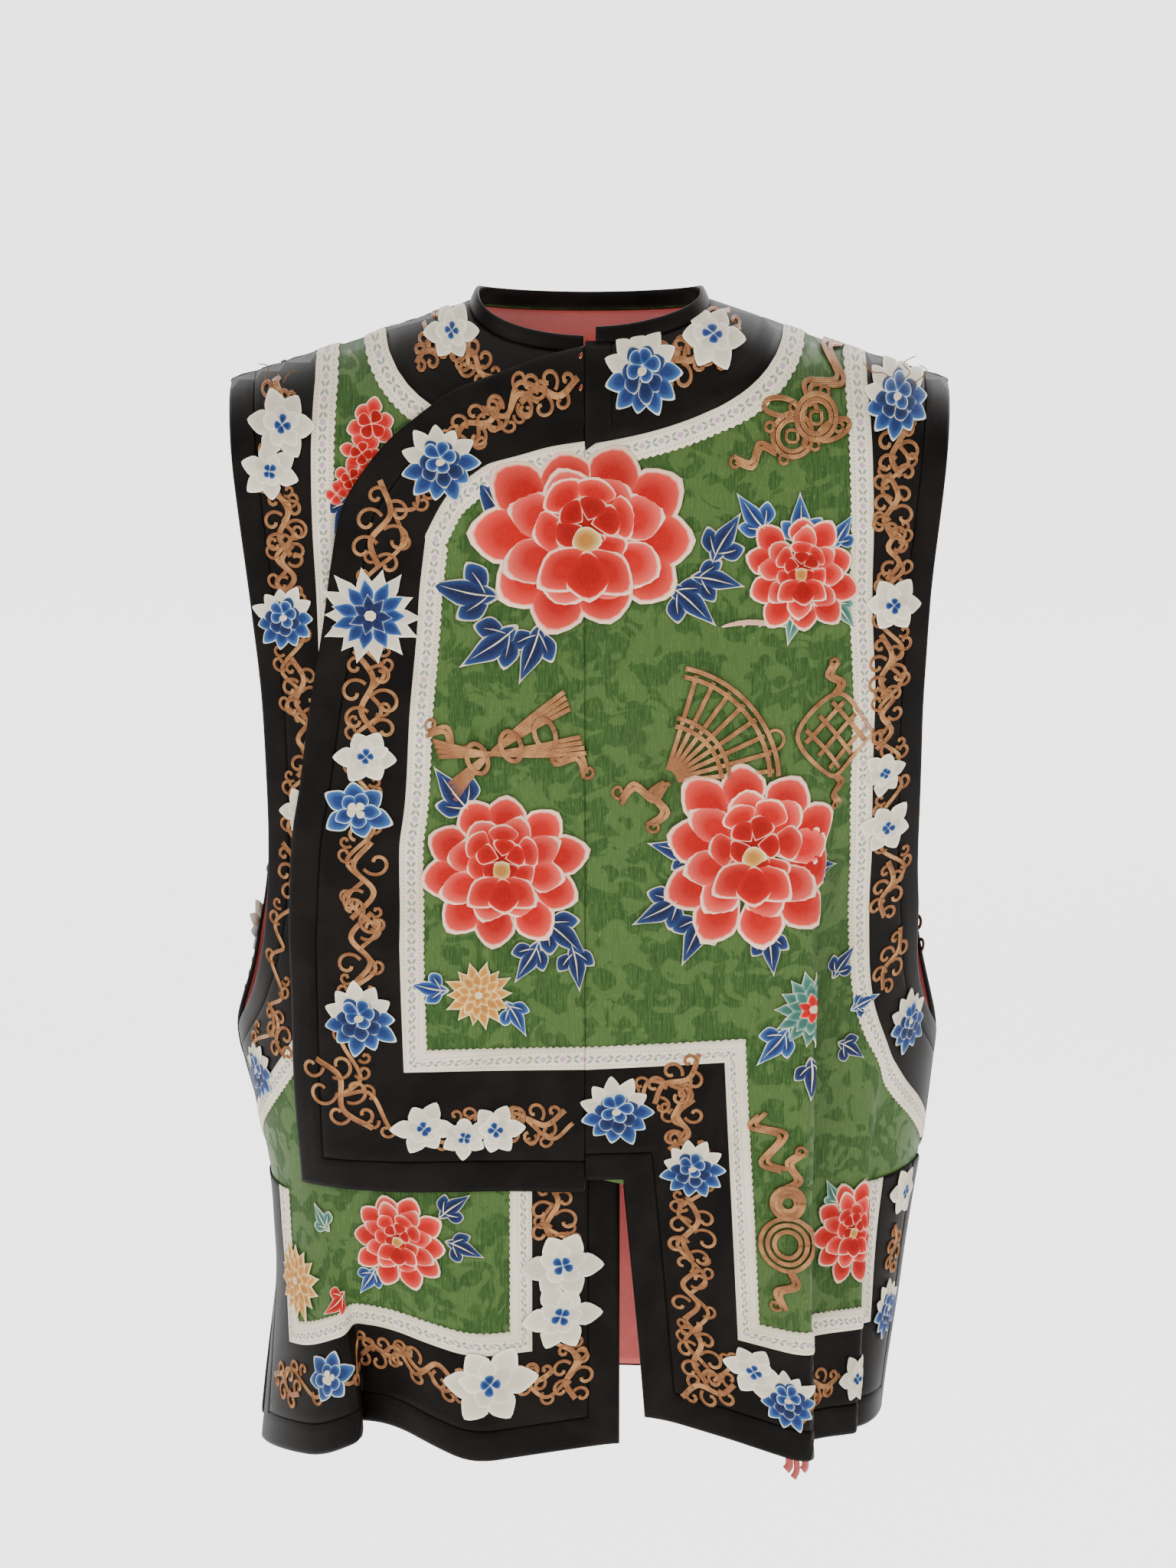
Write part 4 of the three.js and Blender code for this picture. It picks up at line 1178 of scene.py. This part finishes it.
def knot(gold, at, size, turn, dye):
    """An endless knot of crossing cords with tassels."""
    for k in (-0.5, 0, 0.5):
        for turned, level in ((0.785, 1.3), (-0.785, 1.6)):
            cord(gold, polar(at, turned, (-0.75, k), (0, k), (0.75, k), size=size), level)
    cord(gold, loop(at, size * 1.1, size * 1.1, 0, 0, 2 * math.pi, 4), 1.3)
    for hand in (-1, 1):
        streamer(gold, (at[0], at[1] + hand * size * 1.1), size * 0.7, -hand * 1.57 + 0.2, hand)


def gourd(gold, at, size, turn, dye):
    for share in (1.0, 0.75, 0.5):
        cord(gold, loop((at[0], at[1] + 0.35 * size), size * 0.7 * share, size * 0.7 * share))
        cord(gold, loop((at[0], at[1] - 0.75 * size), size * 0.42 * share, size * 0.42 * share), 1.7)
    streamer(gold, (at[0], at[1] + size), size * 0.9, -1.9, 1)
    streamer(gold, (at[0], at[1] - 1.1 * size), size * 0.9, 1.3, -1)


def tail(gold, at, size, turn, dye):
    """A loose squiggle of ribbon."""
    side_by_side(gold, at, size, turn, ((-1, 0), (-0.5, 0.5), (0.1, -0.35), (0.7, 0.4), (1, 0)), 4.5)


EMBLEMS = {made.__name__: made for made in (tail, gleaf, scroll, coins, horn, fan, knot, gourd)}

# Motifs of each panel: the kind, the dye, and the places as across, down, size and turn in degrees
MOTIFS = {
    "flap": [
        ("peony", "red 1.25", [(-2, 145, 71, 0)]), ("peony", "red 1.06", [(-55, 351, 52, 10)]),
        ("mum", "yellow", [(-70, 432, 21, 0)]),
        ("leaf", "navy", [
            (-57, 125, 27, 130), (-78, 177, 29, 170), (-62, 211, 27, 215), (-37, 215, 24, 250),
            (-84, 302, 24, 130), (-17, 395, 24, 320), (-9, 414, 19, 280), (-39, 410, 19, 240),
        ]),
        ("leaf", "blue", [(-101, 427, 16, 170), (-47, 447, 16, 300)]), ("rose", "blue", [(-93, 100, 16, 0)]),
        ("mum", "blue", [(-136, 193, 20, 0)]), ("bloom", "white", [(-138, 280, 14, 0)]),
        ("bloom", "blue", [(-144, 314, 15, 40)]), ("rose", "blue", [(-143, 448, 16, 0)]),
        ("bloom", "white", [(-106, 519, 13, 0), (-81, 525, 11, 30), (-61, 520, 13, 10)]),
        ("horn", "", [(-49, 273, 45, 20)]),
        ("gleaf", "", [
            (-129, 137, 21, 80), (-137, 240, 21, 95), (-156, 499, 22, 300), (-34, 515, 16, 10),
            (-69, 76, 15, 30), (-25, 59, 15, 10),
        ]),
        ("scroll", "", [(-140, 359, 20, 90), (-142, 403, 19, 270), (-49, 66, 14, 20)]),
    ],
    "left": [
        ("peony", "red 1", [(132, 167, 36, 20)]), ("peony", "red 0.95", [(103, 343, 59, -10)]),
        ("peony", "red 0.85", [(214, 602, 30, 0)]), ("mum", "teal", [(141, 444, 25, 0)]),
        ("leaf", "navy", [(85, 146, 22, 60), (79, 172, 21, 350), (63, 186, 24, 320)]),
        ("leaf", "blue", [(103, 131, 20, 130), (133, 135, 21, 95), (158, 142, 15, 60)]),
        ("leaf", "teal", [(158, 192, 15, 310), (126, 197, 17, 260)]),
        ("leaf", "navy", [
            (55, 338, 22, 170), (44, 377, 23, 210), (65, 394, 24, 250), (160, 355, 15, 10),
            (113, 405, 19, 280), (192, 420, 15, 60),
        ]),
        ("leaf", "blue", [(214, 448, 15, 20)]), ("leaf", "navy", [(206, 478, 15, 330)]),
        ("leaf", "blue", [(116, 466, 19, 230)]), ("leaf", "navy", [(139, 488, 17, 270)]),
        ("leaf", "teal", [(218, 577, 13, 60), (198, 574, 13, 120)]), ("leaf", "navy", [(222, 626, 14, 300)]),
        ("stem", "stem", [(82, 200, 40, 0)]), ("rose", "blue", [(17, 509, 16, 0), (65, 549, 14, 0)]),
        ("bloom", "white", [(104, 686, 13, 0)]), ("rose", "blue", [(125, 699, 13, 0)]),
        ("bloom", "white", [(222, 700, 12, 0)]), ("rose", "blue", [(33, 49, 16, 0)]),
        ("bloom", "white", [(76, 29, 14, 0)]), ("rose", "blue", [(193, 64, 15, 0)]),
        ("bloom", "white", [(191, 188, 14, 0), (194, 295, 11, 20), (203, 331, 13, 0)]),
        ("rose", "blue", [(264, 466, 14, 0)]), ("bloom", "white", [(296, 585, 13, 0)]),
        ("rose", "blue", [(298, 662, 13, 0)]), ("coins", "", [(134, 78, 30, 35)]),
        ("tail", "", [(152, 52, 20, 60), (118, 528, 20, 110)]), ("fan", "", [(74, 263, 51, 25)]),
        ("knot", "", [(156, 268, 24, 0)]), ("gourd", "", [(125, 588, 25, 0)]),
        ("gleaf", "", [
            (56, 488, 17, 40), (65, 593, 19, 85), (69, 683, 17, 100), (75, 707, 15, 200), (188, 700, 14, 0),
            (59, 42, 15, 30), (193, 88, 16, 90), (190, 126, 16, 85), (188, 226, 16, 90), (214, 373, 15, 90),
            (232, 421, 16, 75), (296, 622, 13, 90),
        ]),
        ("scroll", "", [
            (59, 518, 15, 80), (64, 642, 16, 270), (86, 32, 9, 60), (191, 157, 12, 90), (191, 263, 13, 90),
        ]),
    ],
    "under": [
        ("peony", "red 0.9", [(-122, 600, 31, 0)]), ("mum", "yellow", [(-216, 628, 24, 0)]),
        ("bloom", "pink", [(-136, 76, 13, 0), (-142, 93, 11, 30), (-149, 109, 10, 10)]),
        ("bud", "pink", [(-158, 118, 8, 0)]),
        ("leaf", "navy", [(-155, 131, 17, 250), (-86, 572, 16, 40), (-80, 599, 16, 340)]),
        ("leaf", "blue", [(-144, 633, 15, 240)]), ("leaf", "red", [(-179, 646, 16, 200)]),
        ("leaf", "teal", [(-179, 589, 14, 120)]),
        ("bloom", "white", [(-17, 612, 18, 60), (-18, 646, 17, 120)]),
        ("bloom", "blue", [(-196, 690, 13, 0)]),
        ("bloom", "white", [(-63, 686, 20, 0), (-86, 24, 12, 0), (-192, 79, 15, 0), (-200, 105, 13, 40)]),
        ("rose", "blue", [(-192, 196, 14, 0)]), ("bloom", "white", [(-181, 319, 12, 0)]),
        ("rose", "blue", [(-239, 498, 13, 0)]),
        ("gleaf", "", [
            (-23, 576, 18, 90), (-11, 683, 16, 90), (-247, 694, 15, 160), (-136, 686, 14, 10),
            (-38, 685, 13, 0), (-98, 34, 10, 30), (-70, 41, 13, 320), (-196, 68, 11, 90), (-191, 136, 17, 95),
            (-182, 240, 16, 95), (-189, 359, 16, 100), (-211, 466, 15, 110),
        ]),
        ("scroll", "", [(-104, 684, 15, 0), (-189, 166, 13, 90), (-180, 279, 14, 90)]),
    ],
    "back": [
        ("peony", "red 1.05", [(-92, 190, 60, 0)]),
        ("peony", "red 1", [(96, 205, 52, 20), (-88, 420, 54, 10)]),
        ("peony", "red 1.05", [(90, 440, 58, 0)]), ("mum", "yellow", [(0, 318, 26, 0)]),
        ("mum", "teal", [(-20, 520, 24, 0)]),
        ("leaf", "navy", [
            (-150, 150, 24, 120), (-40, 140, 24, 60), (-150, 240, 24, 220), (-30, 235, 24, 320),
        ]),
        ("leaf", "blue", [(40, 165, 22, 130)]),
        ("leaf", "navy", [
            (150, 160, 22, 50), (150, 255, 22, 320), (-150, 385, 24, 150), (-30, 385, 22, 40),
            (-140, 470, 22, 220), (32, 400, 22, 140), (155, 400, 22, 40), (150, 500, 22, 320),
        ]),
        ("leaf", "blue", [(40, 505, 22, 230)]), ("coins", "", [(0, 105, 38, 0)]),
        ("horn", "", [(-100, 300, 40, 10)]), ("fan", "", [(105, 322, 44, 25)]),
        ("knot", "", [(0, 425, 22, 0)]), ("gourd", "", [(-150, 575, 20, 0), (150, 575, 20, 0)]),
    ],
}
# What follows what along the borders of the back, at places (across, down, turn)
BACK_EDGE = [
    (192, 70, 90), (190, 120, 90), (188, 170, 90), (186, 225, 90), (184, 280, 90), (186, 335, 90),
    (196, 385, 80), (220, 430, 70), (248, 478, 70),
]
BACK_TRAIL = [(-60, 32, 20), (-25, 42, 0), (15, 42, 0), (52, 36, -20)]
BACK_TRAIL += [(-across, down, 180 - turn) for across, down, turn in BACK_EDGE] + BACK_EDGE
BACK_TRAIL += [(hand * across, down, 90) for hand in (-1, 1) for across, down in ((250, 610), (254, 650))]
BACK_TRAIL += [(across, 690, 0) for across in range(-225, 226, 50)]
TRAIL_KINDS = [("gleaf", 16, ""), ("bloom", 13, "white"), ("scroll", 15, ""), ("rose", 14, "blue")]
for k, (across, down, turn) in enumerate(BACK_TRAIL):
    kind, size, dye = TRAIL_KINDS[k % 4]
    MOTIFS["back"].append((kind, dye, [(across, down, size, turn)]))
back_arm = [(across, down) for across, down, turn in BACK_EDGE]
hem_end = [(250, 610), (250, 650), (245, 690)]


# Places that a vine joins along each border
VINES = {
    "flap": [
        [
            (-30, 57), (-69, 76), (-93, 100), (-122, 128), (-135, 193), (-137, 240), (-138, 280), (-144, 314),
            (-140, 359), (-142, 403), (-143, 448), (-156, 499), (-106, 519), (-61, 520), (-10, 515),
        ],
    ],
    "left": [
        [
            (17, 509), (50, 490), (62, 520), (65, 549), (65, 593), (64, 642), (72, 690), (104, 690),
            (125, 699), (160, 700), (200, 700),
        ],
        [(30, 49), (59, 42), (76, 29), (88, 14)],
        [
            (193, 58), (193, 88), (190, 126), (191, 157), (191, 188), (190, 226), (193, 263), (198, 295),
            (208, 331), (218, 373),
        ],
    ],
    "under": [
        [
            (-23, 570), (-17, 612), (-18, 645), (-14, 690), (-63, 690), (-104, 686), (-136, 686), (-196, 690),
            (-250, 694),
        ],
        [(-105, 20), (-86, 24), (-66, 42)],
        [
            (-196, 53), (-192, 79), (-198, 105), (-192, 136), (-190, 166), (-190, 196), (-184, 240),
            (-182, 279), (-183, 319), (-189, 359), (-200, 410), (-218, 450), (-239, 498),
        ],
    ],
    "back": [
        [(-60, 32), (-25, 42), (15, 42), (52, 36)],
        mirrored(back_arm),
        back_arm,
        mirrored(hem_end) + [(across, 690) for across in range(-175, 176, 50)] + hem_end[::-1],
    ],
}


def embroidered(panel):
    stitches, gold = Stitches(), bmesh.new()
    for places in VINES[panel]:
        vine(gold, places)
    for kind, dye, places in MOTIFS[panel]:
        made, target = (FLOWERS[kind], stitches) if kind in FLOWERS else (EMBLEMS[kind], gold)
        for across, down, size, turn in places:
            made(target, (across, down), size, math.radians(turn), dye)
    stitches.made("floss_" + panel, panel)
    laid_piece("gold_" + panel, panel, gold, GOLD, None)


for panel in MOTIFS:
    embroidered(panel)


# Loose ends

def thread(name, start, ways, radius=0.00035):
    """A loose gold thread: a thin tube through points in metres."""
    points = np.array(spline([start, *[tuple(np.array(start) + np.array(way)) for way in ways]], 0.0015))
    around = 5
    bm = bmesh.new()
    for i, j, vert in grid_of(bm, around, len(points) - 1):
        way = points[min(j + 1, len(points) - 1)] - points[max(j - 1, 0)]
        way /= np.linalg.norm(way)
        side = np.cross(way, (0, 0.2, 1.0))
        side /= np.linalg.norm(side)
        up = np.cross(side, way)
        angle = 2 * math.pi * i / around
        thin = radius * (0.6 if j in (0, len(points) - 1) else 1)
        vert.co = points[j] + (side * math.cos(angle) + up * math.sin(angle)) * thin
    close_ends(bm)
    mesh = mesh_of(bm, name)
    mesh.uv_layers.new(name="cloth")
    finished(name, mesh, GOLD, None)


LOOSE = [
    ("left", 196, 56, [(0.006, -0.001, 0.006), (0.002, 0, 0.012), (0.01, -0.002, 0.017)]),
    ("left", 190, 55, [(-0.004, -0.001, 0.005), (-0.012, 0, 0.006), (-0.016, -0.001, 0.012)]),
    ("left", 202, 58, [(0.005, -0.001, 0.003), (0.011, 0, 0.009), (0.006, 0, 0.013)]),
    ("left", 184, 52, [(-0.006, -0.002, 0.002), (-0.012, -0.001, 0.009)]),
    ("under", -200, 58, [(-0.005, -0.001, 0.006), (-0.002, 0, 0.012), (-0.009, 0, 0.014)]),
    ("under", -193, 56, [(0.004, -0.001, 0.006), (0.009, 0, 0.007)]),
]
for k, (panel, across, down, ways) in enumerate(LOOSE):
    root = laid(panel, np.array([[across, -down, 2.0]]))[0]
    thread(f"loose_thread_{k + 1}", tuple(root), ways)

# Red stitches at the top of the centre front, and a torn scrap of lining at the hem
dots = Stitches()
for across, down in ((-6, 42), (-6, 58)):
    dots.pad((across, down), 1.2, 3.2, 1.5, ROUND, "deep", 2.2, 0.4)
dots.made("red_stitches", "left")
scrap = bmesh.new()
for k, (across, reach, wide) in enumerate(((126, 9, 5), (131, 13, 4), (137, 7, 5))):
    path = [(across, LENGTH - 6), (across + 1.5, LENGTH + reach * 0.5), (across - 1, LENGTH + reach)]
    frayed = [(0, -1.4), (0.5, -0.9), (1, -1.5)]
    torn = spline(path, 2.0)
    strip(scrap, torn, 1, -wide / 2, wide / 2, frayed, step=2.0, open_ends=(0, 0), thick=0.5)
laid_piece("lining_scrap", "left", scrap, RED, "red lining")

# Neck stand

def neck_stand():
    """A narrow folded band that stands round the neck and leans in, open at the centre front."""
    ring = []
    for panel, start, end, steps in (
        ("under", -0.02, -QUARTER, 40), ("back", -QUARTER, QUARTER, 60), ("left", QUARTER, 0.02, 40),
    ):
        path = np.array(neck_path(NECK_BACK if panel == "back" else NECK_FRONT, start, end, steps))
        rise = lift_of(panel, path[:, 0], path[:, 1]) + (0.5 if panel == "back" else 1)
        points = worn(panel, path[:, 0], path[:, 1]) + outward(panel, path[:, 0], path[:, 1]) * rise[:, None]
        ring += list(points[1:-1] if panel == "back" else points)
    ring = np.array(ring)
    padded = np.pad(ring, ((3, 3), (0, 0)), mode="edge")
    ring = np.stack([np.convolve(column, np.ones(7) / 7, "valid") for column in padded.T], 1)
    shape = [
        (1.4, -0.6), (1.6, 1.0), (0.4, 4.2), (-1.2, 7.6), (-2.4, 9.4), (-3.6, 9.6), (-4.4, 8.4), (-3.4, 4.4),
        (-2.4, 0.4), (-1.4, -1.6),
    ]
    bm = bmesh.new()
    placed = {}
    for i, j, vert in grid_of(bm, len(shape), len(ring) - 1):
        point = ring[j]
        out = np.array([point[0], point[1] + 8, 0.0])
        out /= np.linalg.norm(out)
        reach, up = shape[i % len(shape)]
        vert.co = (point + out * reach + np.array([0, 0, up])) * 0.001
        placed[vert] = (j * 0.0032, i * 0.002)
    mark(bm, placed)
    close_ends(bm)
    finished("neck_stand", mesh_of(bm, "neck_stand"), SATIN, "black satin", ["neck_binding"])


neck_stand()

# Stage, camera and lights

def soft_white():
    paint = Paint("pale backdrop", Roughness=0.9)
    coordinates = paint.node("ShaderNodeTexCoord", out=3)
    cloud = paint.noise(coordinates, 0.6, 2.0)
    tone = paint.mix(cloud, (0.9, 0.9, 0.9), (0.93, 0.93, 0.93))
    return paint.into(Base_Color=tone, Emission_Color=tone, Emission_Strength=1.9)


def backdrop():
    """A pale floor that sweeps up behind."""
    bm = bmesh.new()
    profile = [(-9, 0), (6.5, 0)]
    profile += [(6.5 + 2.4 * math.sin(a), 2.4 - 2.4 * math.cos(a)) for a in np.linspace(0.1, QUARTER, 14)]
    profile.append((8.9, 9))
    for i, j, vert in grid_of(bm, 1, len(profile) - 1):
        y, z = profile[j]
        vert.co = (-12 + 24 * i, y, z - 1.36)
    bmesh.ops.recalc_face_normals(bm, faces=bm.faces)
    mesh = mesh_of(bm, "backdrop")
    smooth_mesh(mesh, soft_white())
    placed_object("backdrop", mesh)


backdrop()

def facing(aim, place):
    return (aim - Vector(place)).to_track_quat("-Z", "Y").to_euler()


AIM = Vector((0, -0.060, -0.310))
FOCAL_PIXELS = 8198
camera_data = bpy.data.cameras.new("camera")
camera_data.sensor_width = 36
camera_data.lens = FOCAL_PIXELS / 2048 * 36
camera_data.shift_x = -2 / 2048
camera_data.clip_end = 60
camera = placed_object("camera", camera_data)
rise = math.radians(10)
camera.location = AIM + Vector((0, -4 * math.cos(rise), 4 * math.sin(rise)))
camera.rotation_euler = facing(AIM, camera.location)
bpy.context.scene.camera = camera


def softbox(name, place, size, power):
    data = bpy.data.lights.new(name, "AREA")
    data.shape = "RECTANGLE"
    data.size, data.size_y = size
    data.energy = power
    lamp = placed_object(name, data)
    lamp.location = place
    lamp.rotation_euler = facing(Vector((0, 0, -0.35)), place)


softbox("key", (-2.2, -3.0, 1.8), (1.6, 2.0), 120)
softbox("fill", (2.6, -2.8, 0.8), (1.8, 2.2), 80)
softbox("top", (0, 0.4, 2.6), (2.2, 1.8), 40)
softbox("backlight", (1.5, 2.4, 1.2), (1.6, 1.6), 30)

world = bpy.data.worlds.new("pale room")
world.use_nodes = True
world.node_tree.nodes["Background"].inputs["Color"].default_value = (1, 1, 1, 1)
world.node_tree.nodes["Background"].inputs["Strength"].default_value = 0.7
bpy.context.scene.world = world
